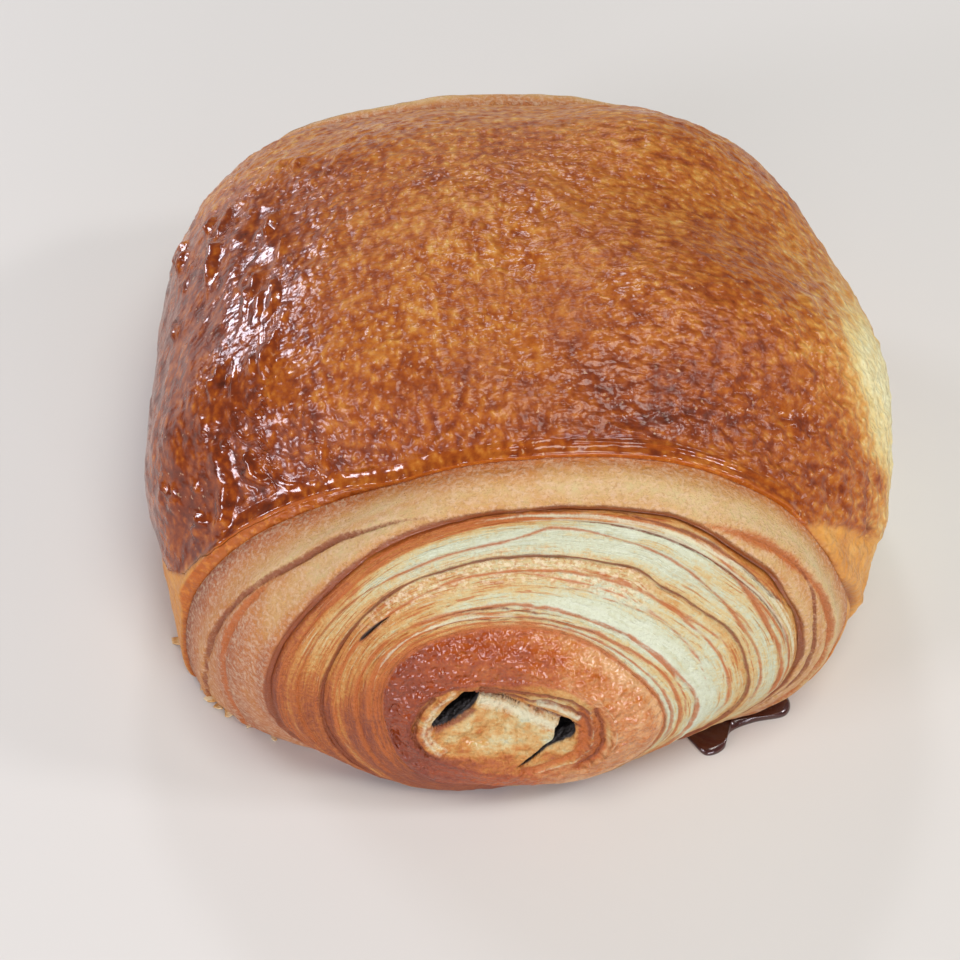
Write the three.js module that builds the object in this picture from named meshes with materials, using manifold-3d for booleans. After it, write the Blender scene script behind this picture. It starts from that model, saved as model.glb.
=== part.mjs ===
import * as THREE from 'three';
import Module from 'manifold-3d';

// A pain au chocolat: one roll of laminated dough with a glazed crust, whose turns come out in
// steps at the end that faces the viewer, two batons of chocolate that run through the roll and
// show in its two openings, and a little chocolate that has leaked out at the right foot.
//
// Millimetres. X runs across the roll, +Y runs along it away from the viewer and +Z is up.
// The origin is under the middle of the roll, on the plane that it rests on.

const DEGREE = Math.PI / 180;

// The roll is a skin over closed loops, from the middle of its front end to the middle of its
// back end. In each loop, "middle" is the x and z that the reaches start from, "along" is the y
// of the loop at its right, top, left and bottom, and "reach" is the distance out to the skin
// at right, upper right, top, upper left, left, lower left, bottom and lower right.
const FRONT_PIT = { middle: [-2, 15], along: [-46, -46, -46, -46], reach: [0, 0, 0, 0, 0, 0, 0, 0] };
const FRONT_RIM = {
  middle: [-2, 14], along: [-48.4, -45.6, -48.2, -49.2],
  reach: [11.5, 10.2, 6.8, 9.5, 10, 6.2, 5.4, 7.2],
};
const INNER_ROLL = {
  middle: [-2, 14], along: [-47.5, -45, -47.5, -48.9],
  reach: [16.2, 13.2, 11.4, 12.9, 12.6, 9.8, 8.6, 10.2],
};
const INNER_ROLL_EDGE = {
  middle: [-1.6, 14], along: [-46.1, -43, -47.6, -47.8],
  reach: [18.2, 15.9, 14.7, 16.5, 13.5, 12.6, 10.5, 14.2],
};
const THIRD_TURN = {
  middle: [-0.8, 14], along: [-41.8, -37.8, -44.9, -46],
  reach: [27, 24.4, 22, 23.1, 22.2, 19, 13.4, 14],
};
const SECOND_TURN = {
  middle: [-0.3, 14.5], along: [-38.8, -34.6, -43.8, -41.4],
  reach: [32, 30.1, 25.5, 27.1, 28.3, 20.4, 14.7, 19.4],
};
const CRUST_LIP = {
  middle: [0, 15.5], along: [-28.9, -30, -28.5, -36.4],
  reach: [40.4, 32.6, 27.6, 27.6, 40, 43.2, 22, 36],
};
const BEHIND_LIP = {
  middle: [0, 16.5], along: [-19.6, -24.4, -18.3, -26],
  reach: [44.6, 34.8, 29.9, 35, 44.8, 36.2, 24, 34.6],
};
const FRONT_OF_BODY = {
  middle: [0, 17], along: [-7.4, -11, -9, -11],
  reach: [46.2, 39.6, 31, 37, 46, 36, 24, 34],
};
const MID_BODY = {
  middle: [0, 17], along: [7, 7, 7, 7],
  reach: [46.2, 35, 30.5, 36, 46.3, 35.2, 24, 34.4],
};
const BACK_OF_BODY = {
  middle: [0, 17], along: [22, 22, 22, 22],
  reach: [39.5, 34.6, 26.8, 33, 45.2, 34.2, 24, 32],
};
const BACK_SHOULDER = {
  middle: [0, 16], along: [33, 33, 33, 33],
  reach: [36.2, 27.8, 21.5, 27.6, 42.2, 30, 22, 28],
};
const BACK_LIP = {
  middle: [0, 15], along: [38.4, 38.4, 38.4, 38.4],
  reach: [31, 22.4, 18.2, 23, 38.4, 24, 17, 23],
};
const BACK_TURN = {
  middle: [-0.6, 14.5], along: [42.2, 41.6, 42.4, 42.2],
  reach: [25.4, 18.6, 15.4, 19, 28.6, 18.6, 14, 18],
};
const BACK_ROLL_EDGE = {
  middle: [-1, 14], along: [45, 44.6, 45.2, 45],
  reach: [18.4, 15, 12.4, 15.2, 18.6, 13.8, 11.4, 13.6],
};
const BACK_ROLL = {
  middle: [-1, 14], along: [46.8, 46.4, 47, 46.6],
  reach: [14.4, 12.2, 10.2, 12.4, 14.6, 11, 9.2, 10.6],
};
const BACK_RIM = {
  middle: [-1, 14], along: [47, 46.6, 47.2, 46.8],
  reach: [11, 9.8, 7.8, 10, 11.4, 8, 6.6, 7.6],
};
const BACK_PIT = { middle: [-1, 14], along: [45, 45, 45, 45], reach: [0, 0, 0, 0, 0, 0, 0, 0] };

const LOOPS = [
  FRONT_PIT, FRONT_RIM, INNER_ROLL, INNER_ROLL_EDGE, THIRD_TURN, SECOND_TURN, CRUST_LIP,
  BEHIND_LIP, FRONT_OF_BODY, MID_BODY, BACK_OF_BODY, BACK_SHOULDER, BACK_LIP,
  BACK_TURN, BACK_ROLL_EDGE, BACK_ROLL, BACK_RIM, BACK_PIT,
];

// Edges where one turn of the dough overhangs the next one in. A place on the skin is a loop
// number, with the part of the way to the next loop as its fraction, and an angle in degrees
// from the right over the top. "path" gives the loop number of the edge at some angles.
// "lift" raises the edge, "cut" sinks the line under it and "lean" draws the edge over the line,
// all in millimetres. "toward" is 1 where the outer side overhangs and -1 where the inner does.
const TURN_EDGES = [
  { path: [[-8, 5.86], [8, 5.97], [170, 5.97], [186, 5.84]], from: -8, to: 184, lift: 0.9, cut: 1.3,
    lean: 0.8, toward: 1 },
  { path: [[118, 5.28], [132, 5.44], [153, 5.52], [176, 5.64], [200, 5.7]], from: 121, to: 205,
    lift: 0.5, cut: 0.8, lean: 0.4, toward: 1 },
  { path: [[-16, 5.44], [11, 5.4], [27, 5.33], [43, 5.2], [62, 5.08]], from: -16, to: 56,
    lift: 0.4, cut: 0.6, lean: 0.3, toward: 1 },
  { path: [[-20, 5.1], [12, 5.06], [60, 5.05], [100, 4.92], [130, 5.02], [176, 5], [200, 5.12]],
    from: -30, to: 215, lift: 0.6, cut: 0.9, lean: 0.5, toward: 1 },
  { path: [[-20, 4.5], [40, 4.6], [70, 4.48], [110, 4.4], [150, 4.36], [200, 4.42]],
    from: -25, to: 210, lift: 0.2, cut: 0.35, lean: 0.1, toward: 1 },
  { path: [[-20, 4.05], [50, 3.96], [60, 4.03], [90, 3.98], [150, 3.96], [200, 4.02]],
    from: -30, to: 215, lift: 0.45, cut: 0.7, lean: 0.4, toward: 1 },
  { path: [[-20, 3.74], [60, 3.72], [120, 3.68], [150, 3.7], [200, 3.78]],
    from: -30, to: 215, lift: 0.3, cut: 0.5, lean: 0.2, toward: 1 },
  { path: [[-20, 3.42], [60, 3.36], [120, 3.34], [200, 3.46]],
    from: -30, to: 215, lift: 0.3, cut: 0.45, lean: 0.2, toward: 1 },
  { path: [[-20, 3.04], [90, 3.02], [200, 3.1]], from: -60, to: 245, lift: 0.5, cut: 0.8,
    lean: 0.3, toward: -1 },
  { path: [[-180, 12.04], [180, 12.04]], from: -400, to: 400, lift: 0.7, cut: 0.9,
    lean: 0.5, toward: -1 },
  { path: [[-180, 13.1], [180, 13.1]], from: -400, to: 400, lift: 0.5, cut: 0.7,
    lean: 0.3, toward: -1 },
  { path: [[-180, 13.6], [180, 13.6]], from: -400, to: 400, lift: 0.3, cut: 0.5,
    lean: 0.2, toward: -1 },
  { path: [[-180, 14.1], [180, 14.1]], from: -400, to: 400, lift: 0.4, cut: 0.7,
    lean: 0.2, toward: 1 },
];
const EDGE_FADE = 9;
const EDGE_HALF_WIDTH = 0.75;
const LINE_HALF_WIDTH = 0.55;

// Softer forms of the skin, in millimetres. A band swells between two loop numbers, and the crust
// lies in shallow waves between its front and back edges, which fade over a part of a loop.
const TAN_BAND = { from: 5.05, to: 5.95, swell: 0.9 };
const CREAM_BAND = { from: 4.05, to: 4.95, swell: 0.5 };
const CRUST_FRONT = [6.2, 6.8];
const CRUST_BACK = [11.6, 11];
const CRUST_WAVE = { height: 0.35, perLoop: 5.1, slant: 0.05, perDegree: 0.09 };
const LEFT_FLAP = { loop: 6.15, angle: 190, wide: 13, long: 0.45, out: 2.6 };
const RIGHT_FOLD = { loop: 6.2, angle: 2, wide: 13, long: 0.35, out: 0.9 };

// The middle of the front end: a tongue of dough between the two openings, in a shallow pit.
// The pit's side falls between two loop numbers, and the tongue's between two parts of its size.
const FRONT_PIT_DEPTH = 1.5;
const FRONT_PIT_SIDE = [1.04, 0.8];
const TONGUE = {
  x: -2.6, z: 13.4, half_long: 6.4, half_wide: 3.4, turn: 24, out: 2.2, foot: 1.25, crown: 0.35,
};

// Base: the underside is flat, and blends into the sides over this height.
const BASE_BLEND = 2;

// Steps that give the slopes of the skin, in loop numbers and in parts of the way round, and the
// least length of a loop number, in millimetres.
const SLOPE_STEP = 0.02;
const SLOPE_TURN = 0.002;
const LEAST_LOOP_LENGTH = 2;
const SPACING_STEPS = 24;

// Grid of the skin.
const COLUMNS = 76;
const ROWS = [
  0.25, 0.42, 0.56, 0.68, 0.78, 0.88, 0.97, 1.08, 1.25, 1.6, 2, 2.4, 2.75, 2.92, 3.02, 3.12, 3.26,
  3.37, 3.44, 3.56, 3.66, 3.76, 3.86, 3.95, 4.03, 4.14, 4.32, 4.46, 4.6, 4.8, 4.94, 5.04, 5.14,
  5.28, 5.42, 5.56, 5.7, 5.84, 5.92, 5.98, 6.05, 6.2, 6.45, 6.8, 7.2, 7.6, 8, 8.4, 8.8, 9.3, 9.8,
  10.3, 10.8, 11.2, 11.6, 11.92, 12.02, 12.12, 12.5, 13, 13.14, 13.56, 13.7, 14.04, 14.16, 14.6,
  15, 15.6, 16, 16.4, 16.7,
];

// The two batons of chocolate and the openings round them. The mouths at the front are narrower
// than the batons, and "taper" makes a mouth wider at its upper end.
const BATON_LONG_SIDE = 7;
const BATON_SHORT_SIDE = 3.8;
const BATON_FRONT = -44.4;
const BATON_BACK = 43;
const BATON_CLEARANCE = 0.3;
const BATON_CORNER = 4;
const BATON_BEVEL = 0.5;
const LEFT_BATON = {
  x: -7.3, z: 18.2, turn: 43,
  mouth: { long: 7.8, wide: 3.2, taper: 0.1, slide: 0 },
};
const RIGHT_BATON = {
  x: 3.2, z: 12, turn: 51,
  mouth: { long: 7, wide: 2.1, taper: 0.6, slide: 0.4 },
};
const BACK_MOUTH = { long: 6.6, wide: 2.6, taper: 0, slide: 0 };
const MOUTH_CORNER = 2.4;
const MOUTH_DEPTH = 1.6;
const MOUTH_RUN = 12;
const TUNNEL_STEPS = 24;

// Leaked chocolate: a low pool by the right foot, given by its outline on the board.
const POOL_OUTLINE = [
  [20.4, -38.4], [21.4, -40.4], [22.9, -41.9], [25, -41], [26, -38.6], [29, -37.2], [33, -36.2],
  [33.4, -33.6], [30, -31.8], [25, -32.6], [21.4, -35.2],
];
const POOL_HEIGHT = 1.1;
const POOL_EDGE = 0.9;
const POOL_CLEARANCE = 0.35;
const POOL_CUT_BELOW = 1;
const POOL_LOOPS = 5;
const CORNERS_PER_POINT = 3;

const CRUST_COLOUR = 0xb4713a;
const CHOCOLATE_COLOUR = 0x2b1710;
const CRUST_ROUGHNESS = 0.5;
const BATON_ROUGHNESS = 0.4;
const POOL_ROUGHNESS = 0.25;

// Smooth closed curve through equally spaced values, at a part of the way round.
function roundTheLoop(values, turn) {
  const count = values.length;
  const place = (((turn % 1) + 1) % 1) * count;
  const step = Math.floor(place);
  const part = place - step;
  const [before, start, end, after] = [-1, 0, 1, 2].map((k) => values[(step + k + count) % count]);
  const slope = (end - before) * part;
  const bend = (2 * before - 5 * start + 4 * end - after) * part * part;
  const twist = (3 * start - before - 3 * end + after) * part ** 3;
  return 0.5 * (2 * start + slope + bend + twist);
}

// Value between listed points of a path, with level ends.
function alongPath(path, at) {
  if (at <= path[0][0]) return path[0][1];
  for (let k = 1; k < path.length; k += 1) {
    const [a, b] = [path[k - 1], path[k]];
    if (at <= b[0]) return a[1] + ((b[1] - a[1]) * (at - a[0])) / (b[0] - a[0]);
  }
  return path[path.length - 1][1];
}

function smoothStep(low, high, value) {
  const part = Math.min(1, Math.max(0, (value - low) / (high - low)));
  return part * part * (3 - 2 * part);
}

function bell(distance, halfWidth) {
  return Math.exp(-((distance / halfWidth) ** 2));
}

function loopPoint(loop, turn) {
  const angle = turn * 2 * Math.PI;
  const reach = roundTheLoop(loop.reach, turn);
  return new THREE.Vector3(
    loop.middle[0] + reach * Math.cos(angle),
    roundTheLoop(loop.along, turn),
    loop.middle[1] + reach * Math.sin(angle),
  );
}

// Spacing of the loops: the square root of their mean distance keeps the skin fair.
const SPACING_TURNS = [...Array(SPACING_STEPS).keys()].map((k) => k / SPACING_STEPS);
const gaps = LOOPS.slice(1).map((loop, k) => {
  const lengths = SPACING_TURNS.map((turn) => loopPoint(loop, turn).distanceTo(loopPoint(LOOPS[k], turn)));
  return lengths.reduce((sum, length) => sum + length) / lengths.length;
});
const spans = gaps.map((gap) => Math.sqrt(gap));

// Slope of the skin along a meridian at a loop.
function loopSlope(points, k) {
  const last = points.length - 1;
  if (k === 0) return points[1].clone().sub(points[0]).divideScalar(spans[0]);
  if (k === last) return points[last].clone().sub(points[last - 1]).divideScalar(spans[last - 1]);
  const [back, ahead] = [spans[k - 1], spans[k]];
  const behind = points[k].clone().sub(points[k - 1]).multiplyScalar(ahead / back);
  const front = points[k + 1].clone().sub(points[k]).multiplyScalar(back / ahead);
  return behind.add(front).divideScalar(back + ahead);
}

// One meridian of the plain skin: a function of the loop number.
function meridian(turn) {
  const points = LOOPS.map((loop) => loopPoint(loop, turn));
  const slopes = points.map((_, k) => loopSlope(points, k));
  return (place) => {
    const k = Math.min(LOOPS.length - 2, Math.max(0, Math.floor(place)));
    const part = place - k;
    const [square, cube] = [part * part, part ** 3];
    const sum = points[k].clone().multiplyScalar(2 * cube - 3 * square + 1);
    sum.addScaledVector(points[k + 1], 3 * square - 2 * cube);
    sum.addScaledVector(slopes[k], spans[k] * (cube - 2 * square + part));
    return sum.addScaledVector(slopes[k + 1], spans[k] * (cube - square));
  };
}

// Angle in degrees folded to the range from -90 to 270.
function foldAngle(degrees) {
  return ((((degrees + 90) % 360) + 360) % 360) - 90;
}

// How far a place is from the middle of a named spot, as a part from 0 to 1.
function spotPart(spot, place, degrees) {
  return bell(place - spot.loop, spot.long) * bell(foldAngle(degrees - spot.angle + 90) - 90, spot.wide);
}

// Height over the plain skin, and the draw along the meridian, at a place.
function relief(place, degrees, perLoop) {
  let height = 0;
  let draw = 0;
  for (const edge of TURN_EDGES) {
    const strength = smoothStep(edge.from - EDGE_FADE, edge.from + EDGE_FADE, degrees)
      * smoothStep(edge.to + EDGE_FADE, edge.to - EDGE_FADE, degrees);
    const past = (place - alongPath(edge.path, degrees)) * perLoop * edge.toward;
    const raised = bell(past - EDGE_HALF_WIDTH, EDGE_HALF_WIDTH);
    height += strength * (edge.lift * raised - edge.cut * bell(past + LINE_HALF_WIDTH / 2, LINE_HALF_WIDTH));
    draw -= strength * edge.lean * raised * edge.toward;
  }
  for (const band of [TAN_BAND, CREAM_BAND]) {
    const part = Math.min(1, Math.max(0, (place - band.from) / (band.to - band.from)));
    height += band.swell * Math.sin(Math.PI * part);
  }
  height += LEFT_FLAP.out * spotPart(LEFT_FLAP, place, degrees);
  height += RIGHT_FOLD.out * spotPart(RIGHT_FOLD, place, degrees);
  const onCrust = smoothStep(...CRUST_FRONT, place) * smoothStep(...CRUST_BACK, place);
  const alongWave = Math.sin(place * CRUST_WAVE.perLoop + degrees * CRUST_WAVE.slant);
  height += CRUST_WAVE.height * onCrust * alongWave * Math.cos(degrees * CRUST_WAVE.perDegree);
  return { height, draw };
}

// Depth of the pit in the front end, less the tongue that stands in it.
function pitDepth(point, place) {
  const inside = smoothStep(...FRONT_PIT_SIDE, place);
  const turned = new THREE.Vector2(point.x - TONGUE.x, point.z - TONGUE.z);
  turned.rotateAround(new THREE.Vector2(), -TONGUE.turn * DEGREE);
  const far = Math.hypot(turned.x / TONGUE.half_long, turned.y / TONGUE.half_wide);
  return inside * (FRONT_PIT_DEPTH - TONGUE.out * smoothStep(TONGUE.foot, TONGUE.crown, far));
}

function blendBase(height) {
  if (height >= BASE_BLEND) return height;
  if (height <= -BASE_BLEND) return 0;
  return (height + BASE_BLEND) ** 2 / (4 * BASE_BLEND);
}

// A point of the finished skin.
function skinPoint(place, turn) {
  const here = meridian(turn);
  const point = here(place);
  const next = here(Math.min(LOOPS.length - 1, place + SLOPE_STEP));
  const ahead = next.sub(here(Math.max(0, place - SLOPE_STEP)));
  const perLoop = Math.max(LEAST_LOOP_LENGTH, ahead.length() / (2 * SLOPE_STEP));
  ahead.normalize();
  const across = meridian(turn + SLOPE_TURN)(place).sub(meridian(turn - SLOPE_TURN)(place));
  const outward = new THREE.Vector3().crossVectors(ahead, across).normalize();
  const { height, draw } = relief(place, foldAngle(turn * 360), perLoop);
  point.addScaledVector(outward, height).addScaledVector(ahead, draw);
  point.y += pitDepth(point, place);
  point.z = blendBase(point.z);
  return point;
}

// Closed mesh data from loops of points, with a single point at each end.
function skinOverLoops(first, loops, last) {
  const positions = [first, ...loops.flat(), last].flatMap((point) => [point.x, point.y, point.z]);
  const across = loops[0].length;
  const triangles = [];
  const corner = (row, column) => 1 + row * across + (column % across);
  const end = loops.length * across + 1;
  for (let column = 0; column < across; column += 1) {
    triangles.push(0, corner(0, column), corner(0, column + 1));
    triangles.push(end, corner(loops.length - 1, column + 1), corner(loops.length - 1, column));
    for (let row = 0; row + 1 < loops.length; row += 1) {
      const [a, b] = [corner(row, column), corner(row, column + 1)];
      const [c, d] = [corner(row + 1, column + 1), corner(row + 1, column)];
      triangles.push(a, d, c, a, c, b);
    }
  }
  return { positions, triangles };
}

function signedVolume({ positions, triangles }) {
  const at = (index) => new THREE.Vector3().fromArray(positions, index * 3);
  let sum = 0;
  for (let k = 0; k < triangles.length; k += 3) {
    sum += at(triangles[k]).dot(at(triangles[k + 1]).cross(at(triangles[k + 2])));
  }
  return sum / 6;
}

// Turns the triangles over where the skin was wound facing in.
function facingOut(data) {
  if (signedVolume(data) > 0) return data;
  return { positions: data.positions, triangles: [...data.triangles].reverse() };
}

const wasm = await Module();
wasm.setup();

function solidOf(data) {
  const { positions, triangles } = facingOut(data);
  const mesh = new wasm.Mesh({
    numProp: 3,
    vertProperties: new Float32Array(positions),
    triVerts: new Uint32Array(triangles),
  });
  return new wasm.Manifold(mesh);
}

function meanOf(points) {
  const sum = points.reduce((total, point) => total.add(point), new THREE.Vector3());
  return sum.divideScalar(points.length);
}

// A loop of points round a baton or an opening: a box with rounded corners, turned about the
// direction of the roll.
function slotLoop(place, y, long, wide, taper, slide, corner) {
  const points = [];
  for (let k = 0; k < TUNNEL_STEPS; k += 1) {
    const angle = (k / TUNNEL_STEPS) * 2 * Math.PI;
    const [c, s] = [Math.cos(angle), Math.sin(angle)];
    const scale = (Math.abs(c) ** corner + Math.abs(s) ** corner) ** (-1 / corner);
    const u = scale * c * (long / 2) + slide;
    const v = scale * s * (wide / 2) * (1 + taper * scale * c);
    const [cosine, sine] = [Math.cos(place.turn * DEGREE), Math.sin(place.turn * DEGREE)];
    points.push(new THREE.Vector3(place.x + u * cosine - v * sine, y, place.z + u * sine + v * cosine));
  }
  return points;
}

function batonLoop(place, y, grow) {
  return slotLoop(place, y, BATON_LONG_SIDE + grow, BATON_SHORT_SIDE + grow, 0, 0, BATON_CORNER);
}

function mouthLoop(place, mouth, y) {
  return slotLoop(place, y, mouth.long, mouth.wide, mouth.taper, mouth.slide, MOUTH_CORNER);
}

function tunnelOf(place) {
  const grow = 2 * BATON_CLEARANCE;
  const [front, back] = [BATON_FRONT - BATON_CLEARANCE, BATON_BACK + BATON_CLEARANCE];
  const loops = [
    mouthLoop(place, place.mouth, front - MOUTH_RUN),
    mouthLoop(place, place.mouth, front - MOUTH_DEPTH / 2),
    batonLoop(place, front, grow),
    batonLoop(place, back, grow),
    mouthLoop(place, BACK_MOUTH, back + MOUTH_DEPTH / 2),
    mouthLoop(place, BACK_MOUTH, back + MOUTH_RUN),
  ];
  return solidOf(skinOverLoops(meanOf(loops[0]), loops, meanOf(loops[loops.length - 1])));
}

function batonData(place) {
  const loops = [
    batonLoop(place, BATON_FRONT, -2 * BATON_BEVEL),
    batonLoop(place, BATON_FRONT + BATON_BEVEL, 0),
    batonLoop(place, BATON_BACK - BATON_BEVEL, 0),
    batonLoop(place, BATON_BACK, -2 * BATON_BEVEL),
  ];
  return skinOverLoops(meanOf(loops[0]), loops, meanOf(loops[loops.length - 1]));
}

// The pool: loops that shrink from its outline to the middle as they rise.
function poolData(grow) {
  const outline = POOL_OUTLINE.map(([x, y]) => new THREE.Vector3(x, y, 0));
  const middle = meanOf(outline);
  const corners = CORNERS_PER_POINT * outline.length;
  const edge = [...Array(corners).keys()].map((k) => {
    const x = roundTheLoop(outline.map((point) => point.x), k / corners);
    const y = roundTheLoop(outline.map((point) => point.y), k / corners);
    const arm = new THREE.Vector3(x, y, 0).sub(middle);
    return arm.setLength(arm.length() + grow);
  });
  const loops = [];
  for (let k = 0; k < POOL_LOOPS; k += 1) {
    const part = k / (POOL_LOOPS - 1);
    const rise = (POOL_HEIGHT + grow) * Math.sin((part * Math.PI) / 2);
    const draw = POOL_EDGE * (1 - Math.cos((part * Math.PI) / 2));
    loops.push(edge.map((arm) => {
      const point = arm.clone().setLength(arm.length() - draw).add(middle);
      point.z = rise;
      return point;
    }));
  }
  const top = middle.clone();
  top.z = POOL_HEIGHT + grow;
  const under = middle.clone();
  if (grow > 0) {
    loops.unshift(edge.map((arm) => arm.clone().add(middle).setZ(-POOL_CUT_BELOW)));
    under.z = -POOL_CUT_BELOW;
  }
  return skinOverLoops(under, loops, top);
}

function doughSolid() {
  const loops = ROWS.map((place) => [...Array(COLUMNS).keys()].map((k) => skinPoint(place, k / COLUMNS)));
  const first = skinPoint(0, 0);
  const last = skinPoint(LOOPS.length - 1, 0);
  return solidOf(skinOverLoops(first, loops, last));
}

const dough = doughSolid()
  .subtract(tunnelOf(LEFT_BATON))
  .subtract(tunnelOf(RIGHT_BATON))
  .subtract(solidOf(poolData(POOL_CLEARANCE)));

function dataOf(solid) {
  const mesh = solid.getMesh();
  const positions = [];
  for (let k = 0; k < mesh.numVert; k += 1) {
    positions.push(...mesh.vertProperties.slice(k * mesh.numProp, k * mesh.numProp + 3));
  }
  return { positions, triangles: [...mesh.triVerts] };
}

const box = new THREE.Box3();

function geometryOf(data) {
  const { positions, triangles } = facingOut(data);
  const geometry = new THREE.BufferGeometry();
  geometry.setAttribute('position', new THREE.Float32BufferAttribute(positions, 3));
  geometry.setIndex(triangles);
  geometry.computeBoundingBox();
  box.union(geometry.boundingBox);
  return geometry;
}

function named(name, geometry, colour, roughness) {
  const material = new THREE.MeshStandardMaterial({ color: colour, roughness, metalness: 0 });
  const mesh = new THREE.Mesh(geometry, material);
  mesh.name = name;
  return mesh;
}

const geometries = {
  pastry: geometryOf(dataOf(dough)),
  chocolate_baton_left: geometryOf(batonData(LEFT_BATON)),
  chocolate_baton_right: geometryOf(batonData(RIGHT_BATON)),
  leaked_chocolate: geometryOf(poolData(0)),
};

// The loops are drawn round the roll, so the whole is moved until the middle of its box is over
// the origin.
const centre = box.getCenter(new THREE.Vector3());
for (const geometry of Object.values(geometries)) {
  geometry.translate(-centre.x, -centre.y, -box.min.z);
}

const group = new THREE.Group();
group.add(
  named('pastry', geometries.pastry, CRUST_COLOUR, CRUST_ROUGHNESS),
  named('chocolate_baton_left', geometries.chocolate_baton_left, CHOCOLATE_COLOUR, BATON_ROUGHNESS),
  named('chocolate_baton_right', geometries.chocolate_baton_right, CHOCOLATE_COLOUR, BATON_ROUGHNESS),
  named('leaked_chocolate', geometries.leaked_chocolate, CHOCOLATE_COLOUR, POOL_ROUGHNESS),
);

export default group;
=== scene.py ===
import math

import bmesh
import bpy
import numpy as np
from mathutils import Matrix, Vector, kdtree


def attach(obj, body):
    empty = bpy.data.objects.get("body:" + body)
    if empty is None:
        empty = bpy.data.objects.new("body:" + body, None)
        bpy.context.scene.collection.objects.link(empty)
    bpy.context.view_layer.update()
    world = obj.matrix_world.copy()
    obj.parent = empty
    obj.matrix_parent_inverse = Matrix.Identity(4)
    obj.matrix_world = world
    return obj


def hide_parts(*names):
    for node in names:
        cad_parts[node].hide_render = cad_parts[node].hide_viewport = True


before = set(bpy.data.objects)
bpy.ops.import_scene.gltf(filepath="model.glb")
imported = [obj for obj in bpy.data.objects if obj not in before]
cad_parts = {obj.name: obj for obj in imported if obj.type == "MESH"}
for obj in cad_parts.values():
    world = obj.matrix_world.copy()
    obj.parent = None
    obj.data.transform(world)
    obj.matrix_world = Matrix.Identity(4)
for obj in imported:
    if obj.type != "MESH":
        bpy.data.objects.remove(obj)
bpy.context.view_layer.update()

# A pain au chocolat: a roll of layered dough with two batons of chocolate, in a glazed outer
# sheet. Sizes are in millimetres, in the frame that the loops of the roll are drawn in: x to the
# right, y to the back and z up. They become metres in the object's own frame in new_object.
MM = 0.001
TO_FRAME = np.array([-0.234, 1.010, 0.0])

# The roll: closed loops round it, from the pit in its front end to the pit in its back end.
# Each has the x and z that its reaches start from, the y of the loop at its right, top, left and
# bottom, and its reach at right, upper right, top, upper left, left, lower left, bottom and
# lower right.
LOOPS = [
    ((-2, 15), (-46, -46, -46, -46), (0, 0, 0, 0, 0, 0, 0, 0)),
    ((-2, 14), (-48.4, -45.6, -48.2, -49.2), (11.5, 10.2, 6.8, 9.5, 10, 6.2, 5.4, 7.2)),
    ((-2, 14), (-47.5, -45, -47.5, -48.9), (16.2, 13.2, 11.4, 12.9, 12.6, 9.8, 8.6, 10.2)),
    ((-1.6, 14), (-46.1, -43, -47.6, -47.8), (18.2, 15.9, 14.7, 16.5, 13.5, 12.6, 10.5, 14.2)),
    ((-0.8, 14), (-41.8, -37.8, -44.9, -46), (27, 24.4, 22, 23.1, 22.2, 19, 13.4, 14)),
    ((-0.3, 14.5), (-38.8, -34.6, -43.8, -41.4), (32, 30.1, 25.5, 27.1, 28.3, 20.4, 14.7, 19.4)),
    ((0, 15.5), (-28.9, -30, -28.5, -36.4), (40.4, 32.6, 27.6, 27.6, 40, 43.2, 22, 36)),
    ((0, 16.5), (-19.6, -24.4, -18.3, -26), (44.6, 34.8, 29.9, 35, 44.8, 36.2, 24, 34.6)),
    ((0, 17), (-7.4, -11, -9, -11), (46.2, 39.6, 31, 37, 46, 36, 24, 34)),
    ((0, 17), (7, 7, 7, 7), (46.2, 35, 30.5, 36, 46.3, 35.2, 24, 34.4)),
    ((0, 17), (22, 22, 22, 22), (39.5, 34.6, 26.8, 33, 45.2, 34.2, 24, 32)),
    ((0, 16), (33, 33, 33, 33), (36.2, 27.8, 21.5, 27.6, 42.2, 30, 22, 28)),
    ((0, 15), (38.4, 38.4, 38.4, 38.4), (31, 22.4, 18.2, 23, 38.4, 24, 17, 23)),
    ((-0.6, 14.5), (42.2, 41.6, 42.4, 42.2), (25.4, 18.6, 15.4, 19, 28.6, 18.6, 14, 18)),
    ((-1, 14), (45, 44.6, 45.2, 45), (18.4, 15, 12.4, 15.2, 18.6, 13.8, 11.4, 13.6)),
    ((-1, 14), (46.8, 46.4, 47, 46.6), (14.4, 12.2, 10.2, 12.4, 14.6, 11, 9.2, 10.6)),
    ((-1, 14), (47, 46.6, 47.2, 46.8), (11, 9.8, 7.8, 10, 11.4, 8, 6.6, 7.6)),
    ((-1, 14), (45, 45, 45, 45), (0, 0, 0, 0, 0, 0, 0, 0)),
]
ROLL_MIDDLE = (-1.0, 15.0)
BACK_LIP = 12.0
# The back end has the same turns as the front: loop number there, and the turn that it matches.
BACK_PLACES = [12, 13, 14, 15, 16, 17]
BACK_TURNS = [6, 4.5, 3, 2, 1, 0]
# Rows of the rolled dough and of the outer sheet, in runs of turn or loop numbers with their
# count, and columns where they show and under the roll.
DOUGH_ROWS = [(0.05, 1.25, 34), (1.25, 2.95, 30), (2.95, 5.985, 118)]
DOUGH_BACK_ROWS = [(12.02, 14.2, 28), (14.2, 16.97, 20)]
DOUGH_COLUMNS = (330, 66)
SHEET_ROWS = [(6.0, 6.3, 20), (6.3, 7.0, 22), (7.0, 10.8, 86), (10.8, 11.75, 18), (11.75, 12.0, 12),
              (12.0, 12.0, 1)]
SHEET_COLUMNS = (430, 106)
# Rows of the rolled dough under the outer sheet, and how deep all but the first of them lie.
HIDDEN_ROWS = [5.985, 6.05, 6.15, 6.4, 7.5, 9, 10.5, 11.6, 11.9]
HIDDEN_DEPTHS = [1.0, 1.8, 2.2, 2.2, 2.2, 2.2, 2.2, 1.4]
BASE_BLEND = 2.0
SHEET = 2.4
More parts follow.
